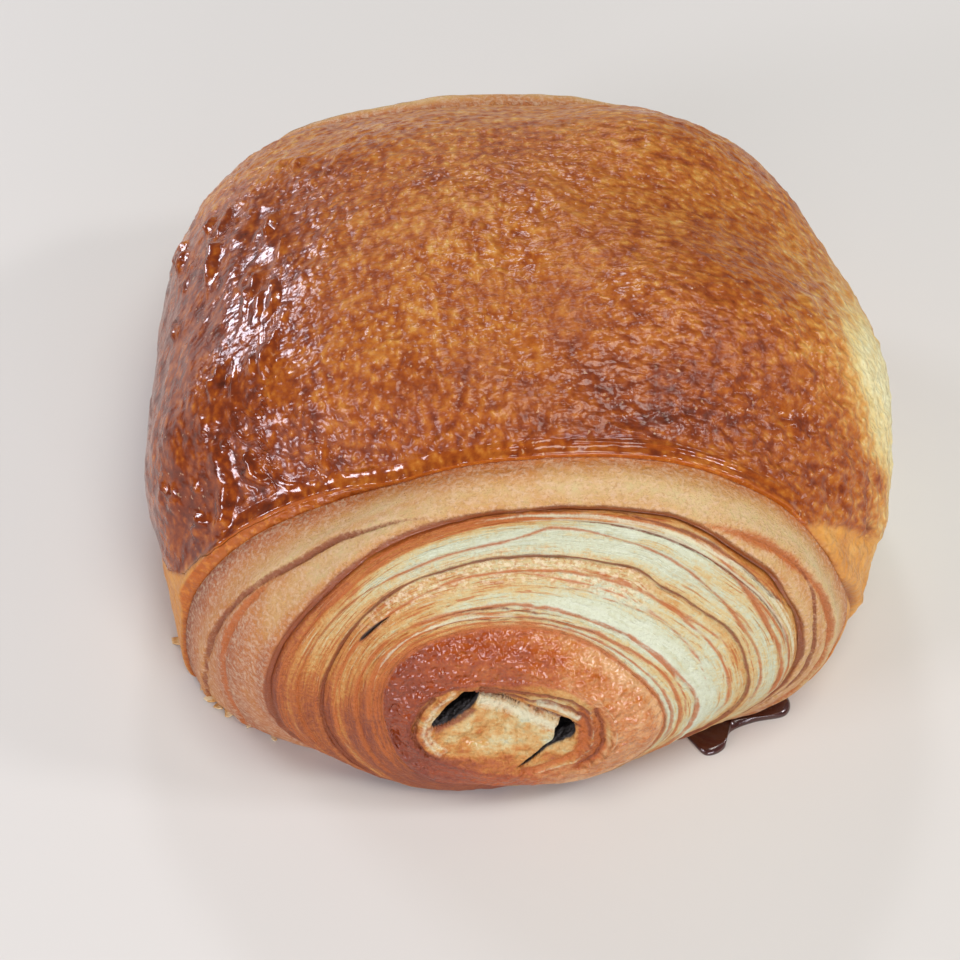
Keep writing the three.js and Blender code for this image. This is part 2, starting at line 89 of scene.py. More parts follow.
# Angles that the relief of the edges shows between, as in stretch.
SHOWS = (-40, -14, 200, 224)

# Edges over the front end: angle in degrees from the right over the top, and loop number.
LIP = [(-40, 5.9), (-14, 5.86), (-4, 5.84), (3, 5.8), (12, 5.74), (21, 5.78), (28, 5.86),
       (34, 5.93), (49, 5.99), (60, 6.02), (72, 6.01), (90, 5.99), (104, 6.01), (119, 5.98),
       (135, 5.99), (153, 5.93), (167, 5.89), (173, 5.89), (182, 5.92), (191, 5.95), (200, 5.98),
       (230, 5.95)]
# The face of the lip starts LIP_DROP under the sheet. LIP_HOLLOW is how hollow it is at the left,
# and LIP_CREST is the part of its ridge that is a narrow crest.
LIP_DROP = 0.3
LIP_HOLLOW = 0.45
LIP_CREST = 0.45
# Below this line the outer sheet has no glaze, and its fold shows as plain baked dough.
GLAZE_EDGE = [(-40, 8.5), (-10, 7.4), (0, 6.8), (5, 6.55), (10, 6.36), (15, 6.2), (19, 6.07),
              (22, 5.98), (29, 5.8), (140, 5.8), (146, 5.95), (165, 5.98), (171, 6.02),
              (176, 6.07), (179, 6.14), (183, 6.6), (186, 7.2), (192, 8.5), (230, 8.5)]
FOLD_CREASE = [(-12, 6.28), (-5, 6.19), (4, 6.06), (10, 5.99), (15, 5.94), (20, 5.91), (26, 5.92)]
# Angle below which the right side is pale, by loop number, and how pale it is there.
PALE_EDGE = [(6.3, 3), (6.5, 8), (6.67, 12), (6.97, 17), (7.31, 21), (7.68, 26), (8.08, 29),
             (8.76, 24), (9.59, 17), (10.4, 10), (11.2, 4)]
PALENESS = [(6.5, 0.26), (7.1, 0.3), (7.5, 0.44), (8.0, 0.48), (8.5, 0.42), (8.9, 0.3),
            (9.6, 0.2), (10.6, 0.16), (11.6, 0.12)]
SECOND_TURN = [(-40, 5.05), (-20, 5.0), (12, 5.04), (15, 5.07), (22, 5.05), (26, 5.08), (30, 5.11),
               (34, 5.08), (41, 5.06), (49, 5.09), (55, 5.1), (61, 5.05), (75, 5.0), (90, 4.98),
               (104, 5.02), (112, 5.03), (123, 5.06), (134, 5.03), (161, 5.03), (176, 5.02),
               (185, 5.06), (200, 5.12), (230, 5.1)]
THIRD_TURN = [(-40, 4.0), (-20, 3.98), (3, 3.98), (11, 3.95), (21, 4.01), (26, 4.03), (35, 3.98),
              (41, 4.0), (49, 3.97), (54, 4.04), (58, 4.07), (64, 4.01), (80, 3.99), (95, 3.98),
              (110, 3.96), (124, 3.98), (135, 3.95), (153, 3.92), (163, 3.95), (185, 3.98),
              (230, 4.0)]
FOURTH_TURN = [(-40, 3.42), (-20, 3.42), (10, 3.4), (20, 3.34), (34, 3.36), (60, 3.34), (90, 3.38),
               (112, 3.36), (127, 3.39), (140, 3.44), (155, 3.48), (175, 3.5), (200, 3.52),
               (230, 3.5)]
ROLL_EDGE = [(-40, 3.0), (-20, 2.98), (26, 2.99), (49, 3.04), (66, 3.07), (95, 3.07), (120, 3.05),
             (150, 3.06), (200, 3.1), (230, 3.05)]
# The turn number of each of those edges. Rows of the mesh run along them.
TURNS = [(3.0, ROLL_EDGE), (3.4, FOURTH_TURN), (4.0, THIRD_TURN), (5.0, SECOND_TURN), (6.0, LIP)]

LEFT_GROOVE = [(206, 5.8), (200, 5.77), (185, 5.63), (174, 5.57), (167, 5.56), (156, 5.53),
               (149, 5.5), (137, 5.48), (130, 5.4), (122, 5.33), (112, 5.17), (103, 5.05)]
LEFT_GROOVE_TWIN = [(206, 5.55), (200, 5.53), (189, 5.48), (178, 5.46), (167, 5.47), (156, 5.49),
                    (148, 5.5)]
RIGHT_LEAF_TOP = [(-24, 5.42), (3, 5.41), (11, 5.4), (26, 5.38), (35, 5.34), (43, 5.25), (52, 5.14),
                  (62, 5.06)]
RIGHT_LEAF_MIDDLE = [(-16, 5.17), (7, 5.19), (14, 5.23), (18, 5.31), (25, 5.37)]
TWIN_LINE = [(14, 5.0), (23, 4.99), (27.5, 4.89), (37.5, 4.94), (49, 4.97), (57, 4.94), (68, 4.985),
             (95, 4.96)]
GOLD_LINE = [(-10, 4.62), (2, 4.6), (11, 4.57), (20, 4.52), (26, 4.61), (34, 4.7), (40, 4.81),
             (47, 4.9)]
CREAM_CREASE = [(-10, 4.17), (3, 4.17), (22, 4.18), (30, 4.27), (41, 4.35), (49, 4.41), (64, 4.47),
                (76, 4.54), (82, 4.57), (86, 4.44), (92, 4.31), (100, 4.27), (115, 4.25),
                (128, 4.29), (133, 4.38), (141, 4.45), (163, 4.46), (176, 4.42), (200, 4.4)]
FLAKY_LINE = [(-10, 3.72), (20, 3.76), (49, 3.82), (58, 3.81), (70, 3.8), (90, 3.78), (110, 3.76),
              (131, 3.69), (142, 3.73), (160, 3.78), (200, 3.8)]
CRACK = [(120, 3.67), (131, 3.69), (138, 3.715), (142, 3.73), (150, 3.74)]
CREAM_TOP = [(10, 3.52), (18, 3.55), (26, 3.61), (34, 3.64), (41, 3.67), (49, 3.63), (60, 3.6),
             (67, 3.64), (74, 3.59), (95, 3.61)]
LOW_LINE = [(-20, 3.2), (7, 3.22), (26, 3.25), (49, 3.22), (57, 3.24), (64, 3.21), (90, 3.24),
            (130, 3.25), (150, 3.28), (185, 3.28), (210, 3.25)]
LOWEST_LINE = [(-20, 3.1), (30, 3.12), (60, 3.14), (90, 3.15), (130, 3.15), (150, 3.18), (210, 3.2)]


def leaf(path, begin, end, fade, lift, cut, lean, wide, stain="", strength=0.0, thick=0.3, low=0.0):
    """The edge of a leaf of dough: its path, from which angle to which it shows, its form in
    millimetres, and the stain along it, whose middle is low millimetres under the edge."""
    return dict(path=path, begin=begin, end=end, fade=fade, lift=lift, cut=cut, lean=lean,
                wide=wide, stain=stain, strength=strength, thick=thick, low=low)


LEAVES = [
    leaf(SECOND_TURN, -30, 212, 12, 0.4, 0.28, 0.1, 0.6, "brown", 1.0, 0.34, 0.02),
    leaf(THIRD_TURN, -30, 212, 12, 0.34, 0.12, 0.08, 0.45, "brown", 0.95, 0.26, 0.02),
    leaf(FOURTH_TURN, -30, 212, 12, 0.22, 0.18, 0.06, 0.4, "amber", 0.95, 0.3, 0.0),
    leaf(ROLL_EDGE, -30, 212, 12, -0.1, 0.25, 0.0, 0.45, "amber", 0.9, 0.4, 0.0),
    leaf(LEFT_GROOVE, 122, 215, 18, 0.38, 0.25, 0.1, 0.6, "brown", 1.0, 0.34, 0.08),
    leaf(LEFT_GROOVE_TWIN, 154, 215, 8, 0.25, 0.2, 0.06, 0.45, "amber", 1.0, 0.42, 0.05),
    leaf(RIGHT_LEAF_TOP, -20, 46, 12, 0.4, 0.25, 0.1, 0.6, "amber", 1.0, 0.55, 0.25),
    leaf(RIGHT_LEAF_MIDDLE, -16, 24, 6, 0.25, 0.2, 0.06, 0.4, "brown", 0.9, 0.28, 0.05),
    leaf(TWIN_LINE, 22, 70, 6, 0.22, 0.18, 0.06, 0.4, "brown", 0.95, 0.24, 0.05),
    leaf(GOLD_LINE, -4, 44, 5, 0.2, 0.14, 0.04, 0.4, "amber", 1.0, 0.36, 0.05),
    leaf(CREAM_CREASE, -4, 192, 10, 0.15, 0.08, 0.03, 0.4, "amber", 0.75, 0.32, 0.05),
    leaf(FLAKY_LINE, -4, 192, 10, 0.14, 0.08, 0.03, 0.3, "amber", 0.9, 0.24, 0.02),
    # The crack's dark line is painted shade inside the crack.
    leaf(CRACK, 131, 143, 1.5, 0.1, 0.7, 0.05, 0.25, "dark", 1.0, 0.22, 0.05),
    leaf(CREAM_TOP, 14, 80, 8, 0.2, 0.14, 0.06, 0.4, "amber", 0.6, 0.28, 0.0),
    leaf(LOW_LINE, -10, 205, 10, 0.13, 0.1, 0.04, 0.3, "amber", 1.0, 0.26, 0.02),
    leaf(LOWEST_LINE, -10, 205, 10, 0.1, 0.08, 0.04, 0.3, "amber", 0.9, 0.22, 0.02),
]
# Thin leaves between those, at places drawn with a fixed seed.
THIN_LEAVES = 26
THIN_LEAF_SEED = 7
THIN_LEAF_BANDS = [(3.06, 3.34), (3.66, 4.2), (4.66, 4.96)]

# How well done the layers are, from 0 (pale cream) to 1 (dark), by turn number, at five angles.
DONE_ANGLES = [20, 60, 100, 140, 178]
DONE = [
    [(3.0, .2), (3.1, .12), (3.2, .3), (3.3, .3), (3.4, .05), (3.52, .04), (3.62, .2), (3.8, .24),
     (3.92, .42), (4.02, .42), (4.12, .28), (4.35, .2), (4.5, .3), (4.7, .22), (4.85, .5),
     (5.0, .6), (5.12, .46), (5.3, .6), (5.42, .42), (5.6, .34), (5.8, .52), (5.95, .7)],
    [(3.0, .4), (3.1, .15), (3.2, .3), (3.3, .22), (3.4, .0), (3.5, .02), (3.62, .12), (3.8, .25),
     (3.95, .42), (4.08, .25), (4.2, .1), (4.35, .12), (4.45, .28), (4.55, .04), (4.7, .1),
     (4.8, .48), (4.95, .58), (5.1, .46), (5.35, .36), (5.55, .46), (5.8, .6), (5.95, .72)],
    [(3.0, .5), (3.15, .38), (3.28, .28), (3.4, .2), (3.5, .24), (3.62, .4), (3.8, .34),
     (3.95, .36), (4.1, .22), (4.3, .08), (4.5, .1), (4.62, .3), (4.72, .62), (4.9, .68),
     (5.02, .56), (5.15, .46), (5.4, .44), (5.6, .58), (5.95, .7)],
    [(3.0, .66), (3.2, .64), (3.33, .55), (3.45, .42), (3.6, .5), (3.9, .52), (4.05, .48),
     (4.2, .33), (4.45, .36), (4.6, .5), (4.75, .74), (4.9, .66), (5.0, .66), (5.15, .34),
     (5.35, .32), (5.48, .45), (5.6, .26), (5.75, .42), (5.95, .7)],
    # The last profile, at the left, is darker in part as painted shade on that side.
    [(3.0, .98), (3.15, .9), (3.45, .92), (3.6, .86), (3.7, .68), (3.78, .68), (3.86, .92),
     (3.96, .92), (4.05, .78), (4.25, .84), (4.45, .82), (4.6, .72), (4.75, .84), (4.92, .96),
     (5.04, .78), (5.18, .6), (5.32, .64), (5.45, .72), (5.6, .58), (5.72, .5), (5.86, .66),
     (5.97, .84)],
]

# Bands between turns that swell out: how far, and the turn number that they start at.
BAND_BULGES = [(0.9, 5.05), (0.4, 4.05)]
BAND_WIDTH = 0.9
# Spots on the roll: loop or turn number and half width, angle and half width.
UPPER_CRUMBS = (4.08, 0.1, 95, 30)
PINCH = (6.52, 0.1, 7, 3)
PINCH_SHADE = (7.05, 0.12, 11, 3)
# The same for browner parts of the outer sheet, after how much browner they are.
BROWNED = [(0.17, (6.8, 0.8, 58, 30)), (0.06, (6.5, 0.6, 105, 30)), (0.08, (8.3, 1.0, 140, 16))]
# A long blister runs up from the lip at the left: its loop numbers and angles, and its height.
LONG_BLISTER = [(6.05, 164), (6.2, 161), (6.45, 157), (6.65, 156), (6.9, 154)]
LONG_BLISTER_HEIGHT = 0.8

# The pit in the front end, seen from the front: x and z.
PIT_DEPTH = 0.5
# Turn number that everything in the pit lies under.
PIT_END = 1.9
# How much higher a place seems to lie for every millimetre that it is sunk, as the photo sees it.
SEEN_RISE = 1.28
ROOF_LINE = [(-9.4, 22.2), (-8, 21.9), (-6, 21.5), (-4, 21), (-1.5, 20.8), (2, 20.9), (5, 21),
             (7, 20.5), (8.8, 18.8), (10.2, 16), (10.3, 13), (9.6, 10.5), (8, 8.6)]
HIGH_LINE = [(-5.2, 21), (-1.5, 19.8), (1, 19.3), (3, 19.7), (5.5, 19.3), (7.4, 17.8), (8, 15)]
LOW_LEAF_LINE = [(-4.6, 20.6), (-2.6, 19.5), (0, 18.5), (2.6, 18), (5, 17.3), (6.6, 16.3)]
TONGUE_EDGE = [(-5.4, 20.9), (-3, 19.2), (0, 17.7), (2.2, 16.9), (4.4, 16.1), (5.6, 15.6)]
RIM_OUTSIDE = [(-7, 22), (-9.6, 21.4), (-11.2, 19.6), (-12.3, 17), (-12.5, 15), (-11.9, 12.8),
               (-10.6, 11)]
RIM_MIDDLE = [(-7.6, 21.2), (-9.6, 19.2), (-10.8, 17), (-11.1, 15), (-10.5, 12.9), (-9.4, 11.4)]
RIM_GROOVE = [(-9.9, 20.6), (-11.4, 18.5), (-12.0, 16.5), (-12.1, 14.4), (-11.6, 12.7),
              (-10.9, 11.3), (-9.6, 10.4)]
RIM_INSIDE = [(-9.8, 17.6), (-10.3, 16), (-10.3, 14.4), (-9.6, 12.9), (-8.6, 12.0)]
SLOT_SHADE = [(-9.4, 15.4), (-7.6, 16.2), (-5.6, 17.6)]
TONGUE_FOOT = [(-9.6, 12.4), (-8.4, 11.2), (-6, 10.6), (-3.5, 10.4), (-1.4, 10), (-0.4, 9.2)]
INNER_ARC = [(6.9, 18.6), (7.3, 16.5), (7.2, 14), (6.3, 11.8), (4.8, 10.4), (2.6, 9.4), (0.4, 8.6)]
CREAM_ARC = [(7.7, 19), (8.2, 17), (8.3, 14.5), (7.8, 12.4), (6.4, 10.6), (4.4, 9.4), (2, 8.4)]
OUTER_ARC = [(8.3, 19.2), (9.2, 17), (9.4, 14), (8.7, 11.2), (7.2, 9.4)]
EDGE_ARC = [(6.6, 21.9), (8.8, 20.9), (10.3, 18.6), (10.9, 16), (10.8, 13.4), (10, 10.8)]
TOP_ARC = [(-4.6, 21.4), (-2.5, 20.7), (0, 20.5), (3, 20.8), (5.6, 20.4), (7.6, 18.8)]
WEDGE_LENS = [(2.0, 19.2), (3.8, 19.1), (5.4, 18.5), (6.4, 17.8)]
TONGUE_SWELL = dict(x=-2.8, z=13.6, half_long=7.0, half_high=3.8, turn=-20, out=0.9)
# The leaves above the tongue: how deep they start, and how far each of the next two comes out.
WEDGE_DEPTH = 0.7
WEDGE_STEP = 0.3
RIM_BULGE = 0.45
# Lines in the pit: stain, line, strength, thickness, and how deep they are cut.
PIT_LINES = [
    ("pale", RIM_MIDDLE, 0.35, 0.7, 0.0),
    ("pale", RIM_INSIDE, 0.4, 0.45, 0.0),
    ("brown", RIM_GROOVE, 0.95, 0.26, 0.3),
    ("brown", RIM_OUTSIDE, 0.5, 0.25, 0.2),
    ("brown", TOP_ARC, 0.9, 0.3, 0.25),
    ("brown", HIGH_LINE, 0.9, 0.28, 0.25),
    # Painted shadow: the brown along the low leaf line is shade that the leaf above casts.
    ("brown", LOW_LEAF_LINE, 0.95, 0.3, 0.3),
    ("pale", WEDGE_LENS, 0.75, 0.5, -0.1),
    ("amber", INNER_ARC, 1.0, 0.5, 0.35),
    ("pale", CREAM_ARC, 0.25, 0.3, -0.12),
    ("amber", OUTER_ARC, 1.0, 0.6, 0.4),
    ("brown", OUTER_ARC, 0.9, 0.3, 0.0),
    ("pale", EDGE_ARC, 0.2, 0.22, -0.12),
    # Painted shadow: brown between the left slot and the tongue.
    ("brown", SLOT_SHADE, 0.9, 0.6, 0.25),
]

# Chocolate.
BATON = dict(long=7.0, short=3.8, front=-44.4, back=43.0, clearance=0.3, corner=4.0, bevel=0.5)
LEFT_BATON = dict(x=-7.3, z=18.2, turn=43, sunk=1.6)
RIGHT_BATON = dict(x=3.2, z=12.0, turn=51, sunk=1.2)
LEFT_MOUTH = [(-4.9, 20.2), (-6.2, 20.9), (-7.9, 19.7), (-9.2, 18.0), (-10.2, 16.4), (-9.9, 15.2),
              (-8.5, 15.5), (-7.2, 16.6), (-5.7, 17.5), (-4.9, 18.9)]
RIGHT_MOUTH = [(5.6, 15.7), (4.6, 15.9), (3.9, 14.8), (3.7, 13.2), (2.6, 12.2), (0.8, 10.4),
               (-0.4, 9.0), (0.2, 8.9), (1.5, 10.2), (3.3, 11.8), (5.4, 13), (6.3, 14.4)]
MOUTH_DEPTH = 1.6
TUNNEL_PAST = 12
BACK_MOUTH = dict(long=6.6, wide=2.6, corner=2.4)
POOL_OUTLINE = [(20.4, -38.4), (21.4, -40.4), (22.9, -41.9), (25, -41), (26, -38.6), (29, -37.2),
                (33, -36.2), (33.4, -33.6), (30, -31.8), (25, -32.6), (21.4, -35.2)]
POOL_HEIGHT = 0.8
POOL_EDGE = 1.3

# Loose flakes of crust: x, y and size.
FLAKES = [(-37.9, -33.9, 1.3), (-36.8, -35.0, 0.9), (-35.6, -35.6, 1.4), (-39.0, -32.2, 0.8),
          (-32.8, -37.5, 1.0), (-42.9, -25.4, 1.1), (-29.9, -39.4, 0.6)]
FLAKE_SEED = 23
FLAKE_CORNERS = 9
FLAKE_THICKNESS = 0.25

# Noises of the surfaces: the size of their largest bumps in millimetres, seed and octaves.
NOISES = {
    "layer waver": ((5, 5, 5), 201, 2),
    "fine waver": (1.3, 203, 2),
    "angle waver": ((7, 7, 7), 205, 1),
    "pit lines x": (1.6, 301, 2),
    "pit lines z": (1.6, 303, 2),
    "pit bumps": (1.2, 305, 2),
    "pit browning": ((1.6, 1.6, 1.2), 307, 3),
    "pit ledge": (1.0, 309, 2),
    "baton dents": ((2.5, 4, 2.5), 101, 2),
    "layer bumps": ((2.4, 1.4, 1.4), 51, 2),
    "layer grit": (0.8, 61, 2),
    "crumbs": ((1.4, 0.8, 0.7), 63, 2),
    "roll pebbles": ((1.6, 1.6, 1.6), 71, 3),
    "roll gloss": ((1.6, 1.6, 1.6), 73, 2),
    "sheet waves": ((9, 7, 9), 21, 2),
    "cross ripples": ((2.8, 1.1, 1.6), 23, 2),
    "long ripples": ((1.3, 2.6, 1.3), 27, 2),
    "sheet pebbles": ((1.4, 1.0, 1.2), 25, 2),
    "blister patches": ((5, 8, 6), 31, 2),
    "blister streaks": ((1.7, 4.6, 1.9), 33, 2),
    "blister veins": ((3.4, 6, 3.6), 35, 1),
    "left bumps": ((3.2, 5, 3.2), 37, 2),
    "sheet browning": ((12, 12, 12), 41, 2),
    "dark spots": ((3, 5, 3), 43, 2),
    "sheet gloss": ((6, 5, 6), 45, 2),
    "glaze edge": (1.5, 405, 2),
    "pale edge": ((3, 4, 3), 407, 2),
    "pool dip": (2.5, 111, 2),
}

# The studio, in metres: the lamps with their place, the point that they face, their size, their
# power in watts and their colour.
LAMPS = {
    "window": ((-0.45, -0.27, 0.2), (0, 0, 0.03), (0.14, 0.1), 1.15, (0.94, 0.88, 0.98)),
    "back_window": ((-0.44, 0.34, 0.18), (0, 0, 0.03), (0.14, 0.1), 1.0, (0.88, 0.87, 1.0)),
    "skylight": ((-0.03, 0.45, 0.4), (0, 0, 0.03), (0.07, 0.05), 0.6, (0.9, 0.91, 1.0)),
    "ceiling": ((0.14, -0.14, 0.7), (0, 0, 0.02), (0.34, 0.34), 2.7, (1.0, 0.98, 0.93)),
    "right_lamp": ((0.45, -0.04, 0.37), (0, 0, 0.02), (0.08, 0.06), 0.7, (1.0, 0.96, 1.0)),
    "front_lamp": ((0.14, -0.6, 0.13), (0, 0, 0.02), (0.36, 0.18), 1.85, (0.93, 0.89, 1.0)),
}
SKY = (1.0, 0.98, 0.95, 1.0)
SKY_STRENGTH = 0.2
FLOOR_HALF = 1.5
FLOOR_COLOUR = (0.66, 0.65, 0.62)
# The camera, in the frame of the loops, as it was fitted to the photo.
EYE = (-4.7, -168.915, 217.003)
LOOKS_DOWN = 52
SENSOR = 36
LENS = 76.875
NEAREST_SEEN = 0.01


def ease(low, high, value):
    """0 at low and 1 at high, or the other way round, with a soft change between."""
    part = np.clip((value - low) / (high - low), 0, 1)
    return part * part * (3 - 2 * part)


def stretch(value, begin, full, end, gone):
    """1 from full to end and 0 before begin and after gone, with soft changes between."""
    return ease(begin, full, value) * ease(gone, end, value)


def bell(distance, half_width):
    return np.exp(-((distance / half_width) ** 2))


def spot(place, degrees, form):
    """1 in the middle of a spot on the roll: its place and half width, its angle and half width."""
    middle, half_width, angle, half_angle = form
    return bell(place - middle, half_width) * bell(degrees - angle, half_angle)


def turned(u, v, angle):
    """Two lengths, turned together by an angle in radians."""
    c, s = math.cos(angle), math.sin(angle)
    return u * c - v * s, u * s + v * c


def unit(vectors):
    return vectors / np.maximum(np.linalg.norm(vectors, axis=-1, keepdims=True), 1e-9)


def round_the_loop(values, turn):
    """Smooth closed curve through equally spaced values, at parts of the way round."""
    values = np.asarray(values, float)
    count = len(values)
    place = (turn % 1.0) * count
    step = np.floor(place).astype(int) % count
    part = place - np.floor(place)
    a, b, c, d = (values[(step + k) % count] for k in (-1, 0, 1, 2))
    return 0.5 * (2 * b + (c - a) * part + (2 * a - 5 * b + 4 * c - d) * part**2
                  + (3 * b - a - 3 * c + d) * part**3)


def loop_points(loop, turn):
    (x, z), along, reach = loop
    angle = turn * 2 * math.pi
    out = round_the_loop(reach, turn)
    y = round_the_loop(along, turn)
    return np.stack([x + out * np.cos(angle), y, z + out * np.sin(angle)], -1)


def loop_spans():
    """Length of the step from each loop to the next, as the curves along the roll count it."""
    turn = np.arange(24) / 24
    steps = [loop_points(b, turn) - loop_points(a, turn) for a, b in zip(LOOPS, LOOPS[1:])]
    return np.sqrt([np.linalg.norm(step, axis=1).mean() for step in steps])


def plain_skin(place, turn):
    """Points of the skin with no relief, at loop numbers and parts of the way round."""
    points = np.stack([loop_points(loop, turn) for loop in LOOPS])
    all_spans = loop_spans()
    spans = all_spans[:, None, None]
    steps = np.diff(points, axis=0)
    slopes = np.empty_like(points)
    slopes[0] = steps[0] / spans[0]
    slopes[-1] = steps[-1] / spans[-1]
    slopes[1:-1] = (steps[:-1] * spans[1:] / spans[:-1] + steps[1:] * spans[:-1] / spans[1:]) / (
        spans[:-1] + spans[1:])
    low = np.clip(np.floor(place).astype(int), 0, len(LOOPS) - 2)
    part = (place - low)[..., None]
    column = np.broadcast_to(np.arange(points.shape[1]), place.shape)
    span = all_spans[low][..., None]
    return (
        (2 * part**3 - 3 * part**2 + 1) * points[low, column]
        + (3 * part**2 - 2 * part**3) * points[low + 1, column]
        + span * (part**3 - 2 * part**2 + part) * slopes[low, column]
        + span * (part**3 - part**2) * slopes[low + 1, column]
    )


# Large odd factors that mix the corners of the noise's lattice into random numbers.
HASH_AXES = (73856093, 19349663, 83492791)
HASH_SEED, HASH_LAST = 2654435, 1274126177


def lattice_noise(points, seed):
    """Smooth noise from -1 to 1 at points, with one bump to a unit."""
    cell = np.floor(points).astype(np.int64)
    part = points - cell
    part = part**3 * (part * (part * 6 - 15) + 10)
    total = 0
    for corner in np.ndindex(2, 2, 2):
        at = cell + np.array(corner)
        mixed = seed * HASH_SEED
        for axis, factor in enumerate(HASH_AXES):
            mixed = mixed ^ (at[..., axis] * factor)
        mixed = (mixed ^ (mixed >> 13)) * HASH_LAST
        weight = ((mixed ^ (mixed >> 16)) & 0xFFFF) / 32767.5 - 1
        for axis in range(3):
            weight = weight * (part[..., axis] if corner[axis] else 1 - part[..., axis])
        total = total + weight
    return total


def noise(points, size, seed, octaves=2):
    """Layered noise whose largest bumps have that size in millimetres, one size for each axis."""
    scaled = points / np.asarray(size, float)
    total = 0
    for octave in range(octaves):
        total = total + lattice_noise(scaled * 2**octave, seed + octave) / 2**octave
    return total / (2 - 2.0 ** (1 - octaves))


def bumps(points, name):
    """One of the named noises, from -1 to 1, at points."""
    return noise(points, *NOISES[name])


def line_noise(degrees, size, seed):
    """Noise from -1 to 1 along the angle, the same at both sides of the seam under the roll."""
    angle = np.radians(degrees)
    reach = 57.3 / size
    circle = [np.cos(angle) * reach, np.sin(angle) * reach, np.full_like(angle, seed * 1.7)]
    return noise(np.stack(circle, -1), 1, seed)


def path_at(path, degrees):
    """Loop number of a path at angles, softened at its corners. Under the roll its ends meet."""
    points = sorted(path)
    angles = [p[0] for p in points]
    values = [p[1] for p in points]
    inside = sum(np.interp(degrees + shift, angles, values) for shift in (-2, -1, 0, 1, 2)) / 5
    ends = (values[0] + values[-1]) / 2
    under = np.maximum(ease(-40, -80, degrees), ease(230, 260, degrees))
    return inside + (ends - inside) * under


def turn_knots(degrees):
    knots = [(0.0, np.zeros_like(degrees)), (2.0, np.full_like(degrees, 2.0))]
    knots += [(number, path_at(path, degrees)) for number, path in TURNS]
    return knots + [(7.0, np.full_like(degrees, 7.0))]


def place_of_turn(turn, degrees):
    """Loop numbers of turn numbers. The edges of the turns have their own turn numbers."""
    place = np.array(turn, float)
    knots = turn_knots(degrees)
    for (low, low_place), (high, high_place) in zip(knots, knots[1:]):
        part = (turn - low) / (high - low)
        there = low_place + (high_place - low_place) * part
        place = np.where((part >= 0) & (part < 1), there, place)
    return place


def turn_of_place(place, degrees):
    turn = np.array(place, float)
    knots = turn_knots(degrees)
    for (low, low_place), (high, high_place) in zip(knots, knots[1:]):
        part = (place - low_place) / (high_place - low_place)
        turn = np.where((part >= 0) & (part < 1), low + (high - low) * part, turn)
    return turn


def spread(*runs):
    """Numbers in runs of (begin, end, count)."""
    return np.concatenate([np.linspace(*run, endpoint=False) for run in runs])


def columns_round(seen, under):
    """Parts of the way round, closer together where the roll shows from above."""
    over = np.linspace(-30, 210, seen, endpoint=False)
    below = np.linspace(210, 330, under, endpoint=False)
    return np.sort(np.concatenate([over, below]) % 360) / 360


class Skin:
    """Rows of points over the roll: their places, and the relief that is added to them."""

    def __init__(self, front, back, columns):
        self.front, self.back, self.columns = front, back, columns
        self.degrees = (columns * 360 + 90) % 360 - 90
        shape = (len(front) + len(back), len(columns))
        degrees = np.broadcast_to(self.degrees, shape)
        front_turn = np.broadcast_to(front[:, None], (len(front), len(columns)))
        back_place = np.broadcast_to(back[:, None], (len(back), len(columns)))
        self.place = np.concatenate([place_of_turn(front_turn, degrees[: len(front)]), back_place])
        back_turn = np.where(back_place < BACK_LIP, 6 + (BACK_LIP - back_place),
                             np.interp(back_place, BACK_PLACES, BACK_TURNS))
        self.turn = np.concatenate([front_turn, back_turn])
        self.is_back = np.zeros(shape, bool)
        self.is_back[len(front):] = True
        self.points = plain_skin(self.place, columns)
        across = np.roll(self.points, -1, axis=1) - np.roll(self.points, 1, axis=1)
        self.ahead = unit(np.gradient(self.points, axis=0))
        self.outward = unit(np.cross(self.ahead, across))
        steps = np.linalg.norm(np.diff(self.points, axis=0), axis=2)
        self.length = np.concatenate([np.zeros((1, shape[1])), np.cumsum(steps, axis=0)])
        self.plain = self.points.copy()
        self.height = np.zeros(shape)
        self.draw = np.zeros(shape)
        self.shows = stretch(self.degrees, *SHOWS)

    def length_at(self, rows):
        """Length along each column at a row number with a fraction."""
        low = np.clip(np.floor(rows).astype(int), 0, len(self.length) - 2)
        part = rows - low
        column = np.arange(len(self.columns))
        return self.length[low, column] * (1 - part) + self.length[low + 1, column] * part

    def past(self, edge_turn):
        """Distance outwards past an edge that is given by its turn number in each column."""
        front_row = np.interp(edge_turn, self.front, np.arange(len(self.front)))
        distance = self.length - self.length_at(front_row)
        if len(self.back) > 1:
            edge_place = np.interp(edge_turn, BACK_TURNS[::-1], BACK_PLACES[::-1])
            back_row = np.interp(edge_place, self.back, np.arange(len(self.back))) + len(self.front)
            distance = np.where(self.is_back, self.length_at(back_row) - self.length, distance)
        return distance

    def settle(self):
        """Adds the relief to the plain points."""
        self.points = self.plain + self.outward * self.height[..., None]
        self.points -= self.ahead * (self.draw * np.where(self.is_back, -1, 1))[..., None]

    def rest(self):
        """Lets the underside rest on the floor, with a soft edge round it."""
        z = self.points[..., 2]
        blended = np.where(z <= -BASE_BLEND, 0, (z + BASE_BLEND) ** 2 / (4 * BASE_BLEND))
        self.points[..., 2] = np.where(z >= BASE_BLEND, z, blended)

    def shrunk(self, depth):
        """The points drawn in towards the middle of the roll."""
        centre = np.stack([np.full(self.place.shape, ROLL_MIDDLE[0]), self.points[..., 1],
                           np.full(self.place.shape, ROLL_MIDDLE[1])], -1)
        arm = self.points - centre
        reach = np.linalg.norm(arm, axis=-1, keepdims=True)
        return centre + arm * np.maximum(0.1, 1 - depth[..., None] / np.maximum(reach, 1e-6))


